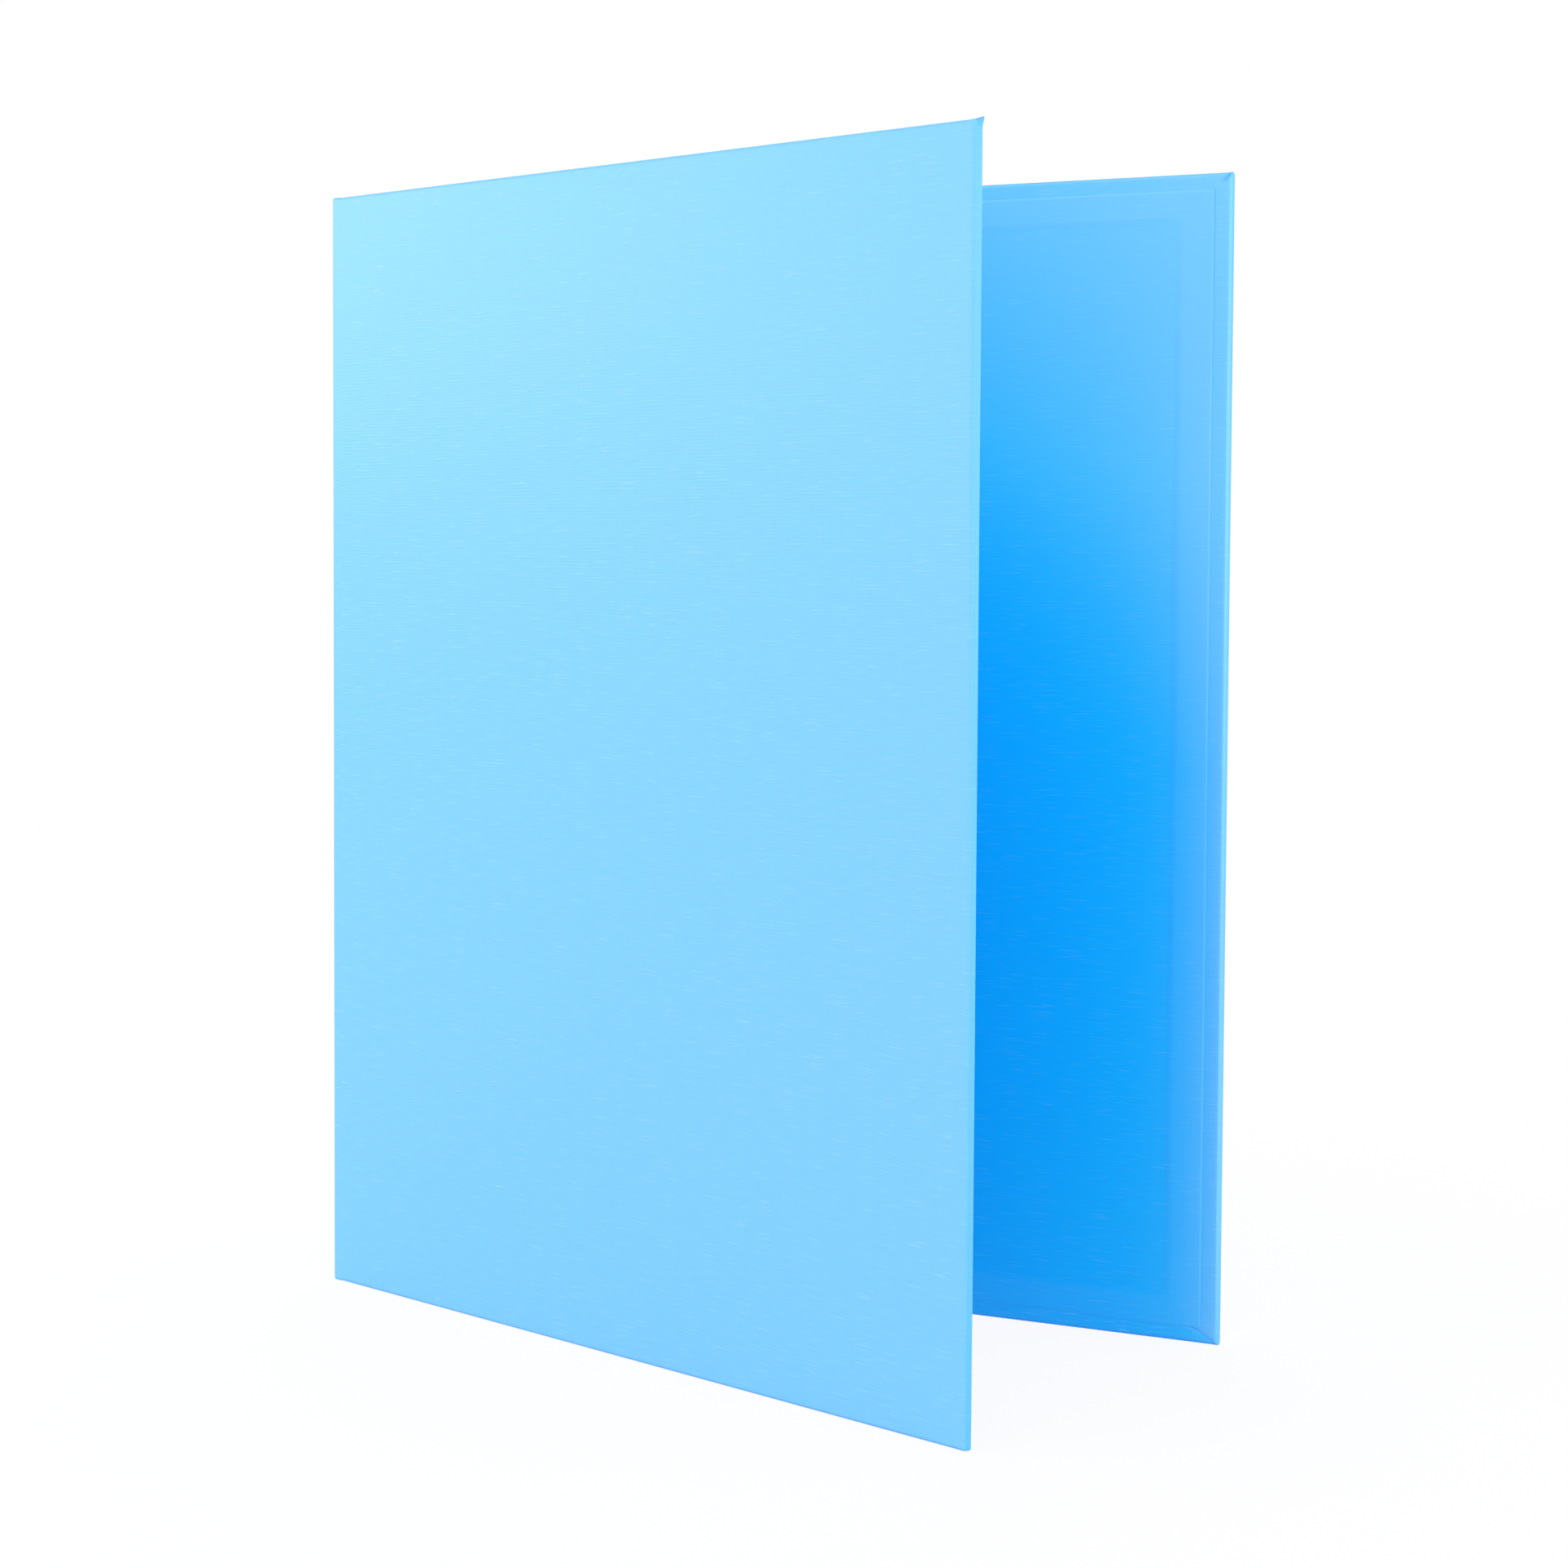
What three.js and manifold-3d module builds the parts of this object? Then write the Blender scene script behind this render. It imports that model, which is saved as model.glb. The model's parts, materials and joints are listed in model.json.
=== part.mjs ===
// A two-ring binder for A4 sheets: three greyboard panels in a cloth case, lined inside,
// with a sprung ring mechanism riveted to the spine.
// Millimetres. +Z runs up the standing binder and +X from the spine to the fore edges.
// The origin is the middle of the spine's bottom end. The back cover stands square to the
// spine on the +Y side, and the front cover, on the -Y side, is opened a little past that.

import * as THREE from 'three';
import { mergeVertices } from 'three/addons/utils/BufferGeometryUtils.js';
import Module from 'manifold-3d';

const wasm = await Module();
wasm.setup();

// Case
const BINDER_HEIGHT = 315;
const COVER_WIDTH = 255; // hinge axis to fore edge
const SPINE_WIDTH = 55; // hinge axis to hinge axis
const FRONT_OPENING = 18.5; // degrees that the front cover stands open past square
const BOARD_THICKNESS = 2;
const CLOTH_THICKNESS = 0.4;
const LINING_THICKNESS = 0.25;
const GLUE_FILM = 0.1; // between a board and what is glued to it
const TURN_IN = 13; // cloth folded over the head, tail and fore edge
const LINING_INSET = 5; // the lining stops this far inside the edges
const LINING_RAMP = 1.5; // the lining sinks to the board over this width
const EDGE_RADIUS = 0.9; // the cloth's round over a board's edge
const CORNER_RADIUS = 1.5; // the cover's corners, seen face on
const JOINT_HALF = 4; // hinge axis to the edge of each board
const JOINT_FOLD_RADIUS = 1.5;
const JOINT_GAP = 0.3; // hinge strips to the panels beside them
const STRIP_GAP = 0.2; // outer hinge cloth to hinge lining

// Ring mechanism
const SHELL_LENGTH = 132;
const SHELL_CROWN = 7; // top of the arch over the spine lining
const SHELL_SHEET = 0.85;
const SHELL_CORNER_RADIUS = 5;
const LIP_LENGTH = 1.2; // flat lip under each blade
const SEAT_GAP = 0.1; // parts that are clamped on each other
const PIVOT_SPREAD = 8.6; // centre line to each blade's pivot
const PIVOT_PLAY = 0.5; // blade edge inside the shell's curl
const BLADE_END_GAP = 3.4; // blade ends to the rivet wells
const BLADE_THICKNESS = 1.5;
const BLADE_CENTRE_GAP = 0.3; // each blade's inner edge to the centre line
const BLADE_TILT = 6; // degrees that a blade slopes to the spine when the rings are closed
const BLADE_CHAMFER = 0.3;
const RING_BORE = 30;
const RING_WIRE = 3.5;
const RING_END_DISTANCE = 7; // each ring to its blade's end
const RING_CENTRE_HEIGHT = 24; // over the spine lining
const RING_LEAVES_AT = 145; // degrees round from the tip, where the wire leaves the circle
const RING_FOOT_REACH = 3.6; // pivot to the foot, along the blade
const RING_FOOT_STRAIGHT = 1.5; // the wire's straight end over the blade
const RING_BEND_START = 4.2; // how far the wire runs on before its bend turns to the foot
const RING_BEND_END = 2.75; // how early it has turned, over the straight end
const RING_OPENS = 12; // degrees of travel of each half
const TIP_GAP = 0.15; // each ring tip to the centre plane
const TIP_PIN_RADIUS = 0.8;
const TIP_PIN_LENGTH = 1.4;
const TIP_PIN_TAPER = 0.35;
const TIP_SOCKET_GAP = 0.3;
const TENON_RADIUS = 1.1;
const TENON_GAP = 0.2;
const TENON_HEAD_RADIUS = 1.6;
const TENON_HEAD_HEIGHT = 0.4;
const TENON_HEAD_BEVEL = 0.3;
const SLOT_GAP = 0.6; // ring wire to the edges of its slot

// Rivets
const RIVET_END_DISTANCE = 10; // rivet to the shell's end
const RIVET_SHANK_RADIUS = 2.3;
const RIVET_SHOULDER_RADIUS = 3.2;
const RIVET_HEAD_RADIUS = 3.4;
const RIVET_HEAD_HEIGHT = 0.9;
const RIVET_BORE_RADIUS = 1.5;
const RIVET_BORE_DEPTH = 4;
const RIVET_HOLE_GAP = 0.2;
const WASHER_RADIUS = 5.2;
const WASHER_CROWN = 0.9;
const WASHER_RIM = 0.45;
const WELL_FLOOR_RADIUS = 4;
const WELL_MOUTH_RADIUS = 5.6;
const WELL_FLOOR_HEIGHT = 3.3; // underside of the well's floor over the spine lining

// Smoothness of curved faces
const CURVE_STEPS = 6;
const ARCH_STEPS = 12;
const RING_ARC_STEPS = 18;
const ROUND_SIDES = 24;
const WIRE_SIDES = 14;
const WIRE_STEPS = 40;
const PAST = 5; // how far a cutting block stands past what it cuts

// Sizes that follow
const PANEL_THICKNESS = BOARD_THICKNESS + 2 * (CLOTH_THICKNESS + GLUE_FILM);
const BOARD_DEPTH = CLOTH_THICKNESS + GLUE_FILM; // a board's outer face under the cloth's
const LINING_LOW = BOARD_DEPTH + BOARD_THICKNESS + GLUE_FILM;
const LINING_HIGH = PANEL_THICKNESS + GLUE_FILM;
const SPINE_OUTER_X = -PANEL_THICKNESS / 2;
const SPINE_LINING_TOP = LINING_LOW + LINING_THICKNESS;
const HINGE_Y = SPINE_WIDTH / 2;
const CURL_RADIUS = BLADE_THICKNESS / 2 + PIVOT_PLAY + SHELL_SHEET / 2;
const PIVOT_HEIGHT = SEAT_GAP + CURL_RADIUS + SHELL_SHEET / 2;
const SHELL_SIDE = PIVOT_SPREAD + CURL_RADIUS;
const RING_RADIUS = (RING_BORE + RING_WIRE) / 2;
const RIVET_PITCH = SHELL_LENGTH - 2 * RIVET_END_DISTANCE;
const BLADE_LENGTH = RIVET_PITCH - 2 * (WELL_MOUTH_RADIUS + BLADE_END_GAP);
const RING_PITCH = BLADE_LENGTH - 2 * RING_END_DISTANCE; // 80, the holes of filed sheets

const degrees = THREE.MathUtils.degToRad;
const quarterTurn = Math.PI / 2;

const clothBlue = { color: 0x8ad4fd, roughness: 0.85, metalness: 0 };
const liningBlue = { color: 0x66cffc, roughness: 0.8, metalness: 0 };
const greyboard = { color: 0xa39a8c, roughness: 0.95, metalness: 0 };
const nickelPlate = { color: 0xc9cbcd, roughness: 0.25, metalness: 1 };
const springSteel = { color: 0x9fa3a8, roughness: 0.4, metalness: 1 };

function piece(name, geometry, finish) {
  const mesh = new THREE.Mesh(geometry, new THREE.MeshStandardMaterial(finish));
  mesh.name = name;
  return mesh;
}

// Joining and cutting of closed shapes

function toSolid(geometry) {
  const bare = geometry.clone();
  bare.deleteAttribute('normal');
  bare.deleteAttribute('uv');
  const merged = mergeVertices(bare);
  return new wasm.Manifold(
    new wasm.Mesh({
      numProp: 3,
      vertProperties: new Float32Array(merged.attributes.position.array),
      triVerts: new Uint32Array(merged.index.array),
    })
  );
}

function toGeometry(solid) {
  const mesh = solid.getMesh();
  const geometry = new THREE.BufferGeometry();
  geometry.setAttribute('position', new THREE.BufferAttribute(mesh.vertProperties, 3));
  geometry.setIndex(new THREE.BufferAttribute(mesh.triVerts, 1));
  return geometry;
}

function cut(solid, ...geometries) {
  return geometries.reduce((rest, geometry) => rest.subtract(toSolid(geometry)), solid);
}

function block(low, high) {
  const size = new THREE.Vector3().subVectors(high, low);
  const middle = new THREE.Vector3().addVectors(low, high).multiplyScalar(0.5);
  const box = new THREE.BoxGeometry(size.x, size.y, size.z);
  return box.translate(middle.x, middle.y, middle.z);
}

// A round body along +X from profile points given as [radius, x].
function turned(profile, closed = false) {
  const points = profile.map(([radius, along]) => new THREE.Vector2(radius, along));
  if (closed) points.push(points[0].clone());
  return new THREE.LatheGeometry(points, ROUND_SIDES).rotateZ(-quarterTurn);
}

// The outline of a thin sheet that follows a run of points.
function ribbon(points, thickness) {
  const near = [];
  const far = [];
  points.forEach((point, i) => {
    const before = points[Math.max(i - 1, 0)];
    const after = points[Math.min(i + 1, points.length - 1)];
    const across = new THREE.Vector2(before.y - after.y, after.x - before.x);
    across.setLength(thickness / 2);
    near.push(point.clone().add(across));
    far.push(point.clone().sub(across));
  });
  return new THREE.Shape([...near, ...far.reverse()]);
}

function roundedOutline(left, bottom, right, top, radius) {
  const outline = new THREE.Shape();
  outline.absarc(right - radius, top - radius, radius, 0, quarterTurn);
  outline.absarc(left + radius, top - radius, radius, quarterTurn, Math.PI);
  outline.absarc(left + radius, bottom + radius, radius, Math.PI, 1.5 * Math.PI);
  outline.absarc(right - radius, bottom + radius, radius, 1.5 * Math.PI, 2 * Math.PI);
  return outline;
}

function extruded(shape, length, curveSegments = CURVE_STEPS) {
  const settings = { depth: length, bevelEnabled: false, curveSegments };
  return new THREE.ExtrudeGeometry(shape, settings);
}

// Case panels. A panel stands in its own frame: x runs from the hinge axis to the fore
// edge, z up, and the thickness from the outer face at y = 0 towards -y.

function panelBlock(from, to, low, high, outer, inner) {
  return block(new THREE.Vector3(from, -inner, low), new THREE.Vector3(to, -outer, high));
}

// Where a panel's pieces stop at its far side: a fore edge, or a second hinge.
function farSide(panel, margin) {
  return panel.foreEdge ? panel.to - margin : panel.to;
}

function panelBoard(panel) {
  const far = farSide(panel, BOARD_DEPTH);
  const radius = CORNER_RADIUS - EDGE_RADIUS / 2;
  const start = panel.from - PAST;
  const end = panel.foreEdge ? far : far + PAST;
  const low = BOARD_DEPTH;
  const high = BINDER_HEIGHT - BOARD_DEPTH;
  const sheet = extruded(roundedOutline(start, low, end, high, radius), BOARD_THICKNESS);
  sheet.rotateX(quarterTurn).translate(0, -BOARD_DEPTH, 0);
  const kept = panelBlock(panel.from, far, 0, BINDER_HEIGHT, 0, PANEL_THICKNESS);
  return toGeometry(cut(toSolid(sheet).intersect(toSolid(kept)), ...rivetHoles(panel)));
}

// The cloth wraps the board's edges and is turned in behind them, open at the hinge.
function panelCloth(panel) {
  const end = farSide(panel, 0);
  const outline = roundedOutline(
    panel.from - PAST,
    0,
    panel.foreEdge ? end : end + PAST,
    BINDER_HEIGHT,
    CORNER_RADIUS
  );
  const slab = new THREE.ExtrudeGeometry(outline, {
    depth: PANEL_THICKNESS - 2 * EDGE_RADIUS,
    bevelSize: EDGE_RADIUS,
    bevelOffset: -EDGE_RADIUS,
    bevelThickness: EDGE_RADIUS,
    bevelSegments: CURVE_STEPS / 2,
    curveSegments: CURVE_STEPS,
  });
  slab.rotateX(quarterTurn).translate(0, -EDGE_RADIUS, 0);
  const kept = panelBlock(panel.from, end, -PAST, BINDER_HEIGHT + PAST, -PAST, PAST);
  const cavityRadius = CORNER_RADIUS - CLOTH_THICKNESS;
  const cavity = extruded(
    roundedOutline(
      panel.from - PAST,
      CLOTH_THICKNESS,
      panel.foreEdge ? end - CLOTH_THICKNESS : end + PAST,
      BINDER_HEIGHT - CLOTH_THICKNESS,
      cavityRadius
    ),
    PANEL_THICKNESS - 2 * CLOTH_THICKNESS
  );
  cavity.rotateX(quarterTurn).translate(0, -CLOTH_THICKNESS, 0);
  const window = panelBlock(
    panel.from - PAST,
    panel.foreEdge ? end - TURN_IN : end + PAST,
    TURN_IN,
    BINDER_HEIGHT - TURN_IN,
    PANEL_THICKNESS / 2,
    PANEL_THICKNESS + PAST
  );
  const wrapped = toSolid(slab).intersect(toSolid(kept));
  return toGeometry(cut(wrapped, cavity, window, ...rivetHoles(panel)));
}

// The lining lies on the turned-in cloth round the edges and on the board inside them.
function panelLining(panel) {
  const step = GLUE_FILM + TURN_IN;
  const top = BINDER_HEIGHT;
  const rises = [LINING_INSET, step, step + LINING_RAMP];
  const heights = [...rises, ...rises.map((rise) => top - rise).reverse()];
  const widths = panel.foreEdge
    ? [panel.from, ...rises.map((rise) => panel.to - rise).reverse()]
    : [panel.from, panel.to];
  const lowFrom = step + LINING_RAMP;
  const isLow = (x, z) =>
    z >= lowFrom && z <= top - lowFrom && (!panel.foreEdge || x <= panel.to - lowFrom);
  const depth = (x, z) => (isLow(x, z) ? LINING_LOW : LINING_HIGH);
  const sheet = reliefSheet(widths, heights, depth, LINING_THICKNESS);
  return toGeometry(cut(toSolid(sheet), ...rivetHoles(panel)));
}

// A sheet over a grid of lines, as thick everywhere, whose near face lies at depth(x, z).
function reliefSheet(xs, zs, depth, thickness) {
  const positions = [];
  const faces = [];
  const layer = xs.length * zs.length;
  for (const extra of [0, thickness]) {
    for (const z of zs) {
      for (const x of xs) positions.push(x, -(depth(x, z) + extra), z);
    }
  }
  const quad = (a, b, c, d) => faces.push(a, b, c, a, c, d);
  const at = (i, k, side) => side * layer + k * xs.length + i;
  for (let k = 0; k + 1 < zs.length; k += 1) {
    for (let i = 0; i + 1 < xs.length; i += 1) {
      quad(at(i, k, 0), at(i, k + 1, 0), at(i + 1, k + 1, 0), at(i + 1, k, 0));
      quad(at(i, k, 1), at(i + 1, k, 1), at(i + 1, k + 1, 1), at(i, k + 1, 1));
    }
  }
  const lastX = xs.length - 1;
  const lastZ = zs.length - 1;
  for (let i = 0; i < lastX; i += 1) {
    quad(at(i, 0, 0), at(i + 1, 0, 0), at(i + 1, 0, 1), at(i, 0, 1));
    quad(at(i, lastZ, 0), at(i, lastZ, 1), at(i + 1, lastZ, 1), at(i + 1, lastZ, 0));
  }
  for (let k = 0; k < lastZ; k += 1) {
    quad(at(0, k, 0), at(0, k, 1), at(0, k + 1, 1), at(0, k + 1, 0));
    quad(at(lastX, k, 0), at(lastX, k + 1, 0), at(lastX, k + 1, 1), at(lastX, k, 1));
  }
  const geometry = new THREE.BufferGeometry();
  geometry.setAttribute('position', new THREE.Float32BufferAttribute(positions, 3));
  geometry.setIndex(faces);
  return geometry;
}

function rivetHoles(panel) {
  if (panel.foreEdge) return [];
  const radius = RIVET_SHANK_RADIUS + RIVET_HOLE_GAP;
  return rivetHeights().map((height) => {
    const drill = new THREE.CylinderGeometry(radius, radius, 2 * PAST, ROUND_SIDES);
    return drill.translate((panel.from + panel.to) / 2, 0, BINDER_HEIGHT / 2 + height);
  });
}

function rivetHeights() {
  return [RIVET_PITCH / 2, -RIVET_PITCH / 2];
}

function panelGroup(name, panel) {
  const group = new THREE.Group();
  group.add(
    piece(`${name}_board`, panelBoard(panel), greyboard),
    piece(`${name}_cloth`, panelCloth(panel), clothBlue),
    piece(`${name}_lining`, panelLining(panel), liningBlue)
  );
  return group;
}

// Hinges. The cloth and the lining cross the gap between two boards. Side is 1 at the back
// hinge and -1 at the front one, and opening is the cover's angle past square.

function hingeFrame(side, opening) {
  const angle = degrees(opening);
  return {
    alongSpine: new THREE.Vector2(0, -side),
    intoSpine: new THREE.Vector2(1, 0),
    alongCover: new THREE.Vector2(Math.cos(angle), side * Math.sin(angle)),
    intoCover: new THREE.Vector2(Math.sin(angle), -side * Math.cos(angle)),
  };
}

// The points of a sheet that lies at one depth under both panels' outer faces.
function foldPoints(hinge, depth, reach, radius, rise = depth) {
  const { alongSpine, intoSpine, alongCover, intoCover } = hinge;
  const share = depth / (1 + intoSpine.dot(intoCover));
  const corner = new THREE.Vector2().addVectors(intoSpine, intoCover).multiplyScalar(share);
  const place = (along, into, distance, height) =>
    along.clone().multiplyScalar(distance).addScaledVector(into, height);
  const spineEnd = place(alongSpine, intoSpine, reach, depth);
  const coverEnd = place(alongCover, intoCover, reach, depth);
  const path = new THREE.Path();
  if (rise > depth) {
    const bend = radius / 2;
    const spineBend = place(alongSpine, intoSpine, reach - bend, depth);
    const spineRise = place(alongSpine, intoSpine, reach, depth + bend);
    path.moveTo(...place(alongSpine, intoSpine, reach, rise).toArray());
    path.lineTo(...spineRise.toArray());
    path.quadraticCurveTo(...spineEnd.toArray(), ...spineBend.toArray());
  } else {
    path.moveTo(...spineEnd.toArray());
  }
  path.lineTo(...corner.clone().addScaledVector(alongSpine, radius).toArray());
  const beyond = corner.clone().addScaledVector(alongCover, radius);
  path.quadraticCurveTo(...corner.toArray(), ...beyond.toArray());
  if (rise > depth) {
    const bend = radius / 2;
    const coverBend = place(alongCover, intoCover, reach - bend, depth);
    const coverRise = place(alongCover, intoCover, reach, depth + bend);
    path.lineTo(...coverBend.toArray());
    path.quadraticCurveTo(...coverEnd.toArray(), ...coverRise.toArray());
    path.lineTo(...place(alongCover, intoCover, reach, rise).toArray());
  } else {
    path.lineTo(...coverEnd.toArray());
  }
  return path.getPoints(CURVE_STEPS);
}

function hingeCloth(hinge) {
  const reach = JOINT_HALF - JOINT_GAP;
  const points = foldPoints(hinge, CLOTH_THICKNESS / 2, reach, JOINT_FOLD_RADIUS);
  return extruded(ribbon(points, CLOTH_THICKNESS), BINDER_HEIGHT);
}

function hingeLining(hinge) {
  const depth = CLOTH_THICKNESS + STRIP_GAP + LINING_THICKNESS / 2;
  const reach = JOINT_HALF - JOINT_GAP - LINING_THICKNESS / 2;
  const radius = JOINT_FOLD_RADIUS - CLOTH_THICKNESS;
  const points = foldPoints(hinge, depth, reach, radius, SPINE_LINING_TOP);
  const height = BINDER_HEIGHT - 2 * LINING_INSET;
  return extruded(ribbon(points, LINING_THICKNESS), height).translate(0, 0, LINING_INSET);
}

function hingeGroup(name, side, opening) {
  const hinge = hingeFrame(side, opening);
  const group = new THREE.Group();
  group.position.set(SPINE_OUTER_X, side * HINGE_Y, 0);
  group.add(
    piece(`${name}_hinge_cloth`, hingeCloth(hinge), clothBlue),
    piece(`${name}_hinge_lining`, hingeLining(hinge), liningBlue)
  );
  return group;
}

// Ring mechanism. x is the height over the spine lining and z is counted from the middle.

// An arched sheet whose long edges curl under to hold the blades.
function shellPoints() {
  const section = new THREE.Path();
  const lipHeight = PIVOT_HEIGHT - CURL_RADIUS;
  const rise = SHELL_CROWN - SHELL_SHEET / 2 - PIVOT_HEIGHT;
  section.moveTo(lipHeight, LIP_LENGTH - PIVOT_SPREAD);
  section.absarc(PIVOT_HEIGHT, -PIVOT_SPREAD, CURL_RADIUS, -Math.PI, -quarterTurn);
  section.absellipse(PIVOT_HEIGHT, 0, rise, SHELL_SIDE, -quarterTurn, quarterTurn);
  section.absarc(PIVOT_HEIGHT, PIVOT_SPREAD, CURL_RADIUS, quarterTurn, Math.PI);
  section.lineTo(lipHeight, PIVOT_SPREAD - LIP_LENGTH);
  return section.getPoints(ARCH_STEPS);
}

function archBody() {
  const filled = new THREE.Shape();
  const halfWidth = SHELL_SIDE + SHELL_SHEET / 2;
  const rise = SHELL_CROWN - PIVOT_HEIGHT;
  filled.absellipse(PIVOT_HEIGHT, 0, rise, halfWidth, -quarterTurn, quarterTurn);
  return extruded(filled, SHELL_LENGTH, ARCH_STEPS).translate(0, 0, -SHELL_LENGTH / 2);
}

// A conical well, sunk through the arch, whose floor takes the rivet.
function wellCup(height) {
  const rim = SHELL_CROWN + SHELL_SHEET;
  const hole = RIVET_SHANK_RADIUS + RIVET_HOLE_GAP;
  const cup = [
    [hole, WELL_FLOOR_HEIGHT],
    [WELL_FLOOR_RADIUS, WELL_FLOOR_HEIGHT],
    [WELL_MOUTH_RADIUS, rim],
    [WELL_MOUTH_RADIUS - SHELL_SHEET, rim],
    [WELL_FLOOR_RADIUS - SHELL_SHEET, WELL_FLOOR_HEIGHT + SHELL_SHEET],
    [hole, WELL_FLOOR_HEIGHT + SHELL_SHEET],
  ];
  return turned(cup, true).translate(0, 0, height);
}

function wellCutter(height) {
  const rim = SHELL_CROWN + SHELL_SHEET;
  const inside = SHELL_SHEET / 2;
  const cone = [
    [0, WELL_FLOOR_HEIGHT],
    [WELL_FLOOR_RADIUS - inside, WELL_FLOOR_HEIGHT],
    [WELL_MOUTH_RADIUS - inside, rim],
    [0, rim],
  ];
  return turned(cone).translate(0, 0, height);
}

// Each half ring comes out of the shell through a slot long enough for its swing.
function ringSlot(side, height) {
  const swing = (SHELL_CROWN - PIVOT_HEIGHT) * Math.sin(degrees(RING_OPENS));
  const foot = PIVOT_SPREAD - RING_FOOT_REACH;
  const halfWire = RING_WIRE / 2;
  const inner = foot - halfWire - SLOT_GAP;
  const outer = foot + halfWire + SLOT_GAP + swing;
  const halfWidth = halfWire + SLOT_GAP;
  const low = side > 0 ? inner : -outer;
  const high = side > 0 ? outer : -inner;
  const outline = roundedOutline(-halfWidth, low, halfWidth, high, halfWire);
  const depth = SHELL_CROWN + PAST - PIVOT_HEIGHT;
  return extruded(outline, depth).rotateY(quarterTurn).translate(PIVOT_HEIGHT, 0, height);
}

function shellEnds() {
  const halfWidth = SHELL_SIDE + SHELL_SHEET;
  const halfLength = SHELL_LENGTH / 2;
  const plan = roundedOutline(
    -halfLength,
    -halfWidth,
    halfLength,
    halfWidth,
    SHELL_CORNER_RADIUS
  );
  return extruded(plan, SHELL_CROWN + PAST).rotateY(quarterTurn);
}

function ringShell() {
  const sheet = extruded(ribbon(shellPoints(), SHELL_SHEET), SHELL_LENGTH);
  sheet.translate(0, 0, -SHELL_LENGTH / 2);
  let shell = toSolid(sheet);
  for (const height of rivetHeights()) {
    const cup = toSolid(wellCup(height)).intersect(toSolid(archBody()));
    shell = cut(shell, wellCutter(height)).add(cup);
  }
  for (const height of ringHeights()) {
    shell = cut(shell, ringSlot(1, height), ringSlot(-1, height));
  }
  return toGeometry(shell.intersect(toSolid(shellEnds())));
}

function ringHeights() {
  return [RING_PITCH / 2, -RING_PITCH / 2];
}

// A blade lies flat here with its round edge on the pivot at the origin.
function ringBlade(side) {
  const half = BLADE_THICKNESS / 2;
  const inner = PIVOT_SPREAD - BLADE_CENTRE_GAP;
  const section = new THREE.Shape();
  section.moveTo(half, 0);
  section.lineTo(half, -side * (inner - BLADE_CHAMFER));
  section.lineTo(half - BLADE_CHAMFER, -side * inner);
  section.lineTo(BLADE_CHAMFER - half, -side * inner);
  section.lineTo(-half, -side * (inner - BLADE_CHAMFER));
  section.lineTo(-half, 0);
  section.absarc(0, 0, half, Math.PI, 0, side > 0);
  const blade = extruded(section, BLADE_LENGTH).translate(0, 0, -BLADE_LENGTH / 2);
  const radius = TENON_RADIUS + TENON_GAP;
  const holes = ringHeights().map((height) => {
    const drill = new THREE.CylinderGeometry(radius, radius, 2 * PAST, ROUND_SIDES);
    return drill.rotateZ(quarterTurn).translate(0, -side * RING_FOOT_REACH, height);
  });
  return toGeometry(cut(toSolid(blade), ...holes));
}

// The half ring's centre line, from its tip round to its foot, counted from the pivot.
function ringPath(side) {
  const centre = new THREE.Vector3(RING_CENTRE_HEIGHT - PIVOT_HEIGHT, -side * PIVOT_SPREAD, 0);
  const start = TIP_GAP / RING_RADIUS;
  const leaves = degrees(RING_LEAVES_AT);
  const points = [];
  for (let i = 0; i <= RING_ARC_STEPS; i += 1) {
    const angle = start + ((leaves - start) * i) / RING_ARC_STEPS;
    const height = RING_RADIUS * Math.cos(angle);
    const out = side * RING_RADIUS * Math.sin(angle);
    points.push(new THREE.Vector3(height, out, 0).add(centre));
  }
  const { foot, up } = ringFoot(side);
  const ankle = foot.clone().addScaledVector(up, RING_FOOT_STRAIGHT);
  const onward = new THREE.Vector3(-Math.sin(leaves), side * Math.cos(leaves), 0);
  const last = points[points.length - 1];
  const bend = new THREE.CubicBezierCurve3(
    last,
    last.clone().addScaledVector(onward, RING_BEND_START),
    ankle.clone().addScaledVector(up, RING_BEND_END),
    ankle
  );
  points.push(...bend.getPoints(CURVE_STEPS).slice(1));
  points.push(foot.clone().lerp(ankle, 0.5), foot);
  return new THREE.CatmullRomCurve3(points);
}

// Where the wire stands on its blade, and the blade's upward normal, when closed.
function ringFoot(side) {
  const tilt = degrees(BLADE_TILT);
  const up = new THREE.Vector3(Math.cos(tilt), -side * Math.sin(tilt), 0);
  const inward = new THREE.Vector3(-Math.sin(tilt), -side * Math.cos(tilt), 0);
  const middle = inward.multiplyScalar(RING_FOOT_REACH);
  const foot = middle.clone().addScaledVector(up, BLADE_THICKNESS / 2 + SEAT_GAP);
  return { foot, up, middle };
}

// A tenon goes through the blade and is headed over beneath it.
function ringTenon(side) {
  const { up, middle } = ringFoot(side);
  const under = -BLADE_THICKNESS / 2 - SEAT_GAP;
  const profile = [
    [0, under - TENON_HEAD_HEIGHT],
    [TENON_HEAD_RADIUS - TENON_HEAD_BEVEL, under - TENON_HEAD_HEIGHT],
    [TENON_HEAD_RADIUS, under],
    [TENON_RADIUS, under],
    [TENON_RADIUS, BLADE_THICKNESS],
    [0, BLADE_THICKNESS],
  ];
  const tenon = turned(profile).rotateZ(Math.atan2(up.y, up.x));
  return tenon.translate(middle.x, middle.y, middle.z);
}

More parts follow.
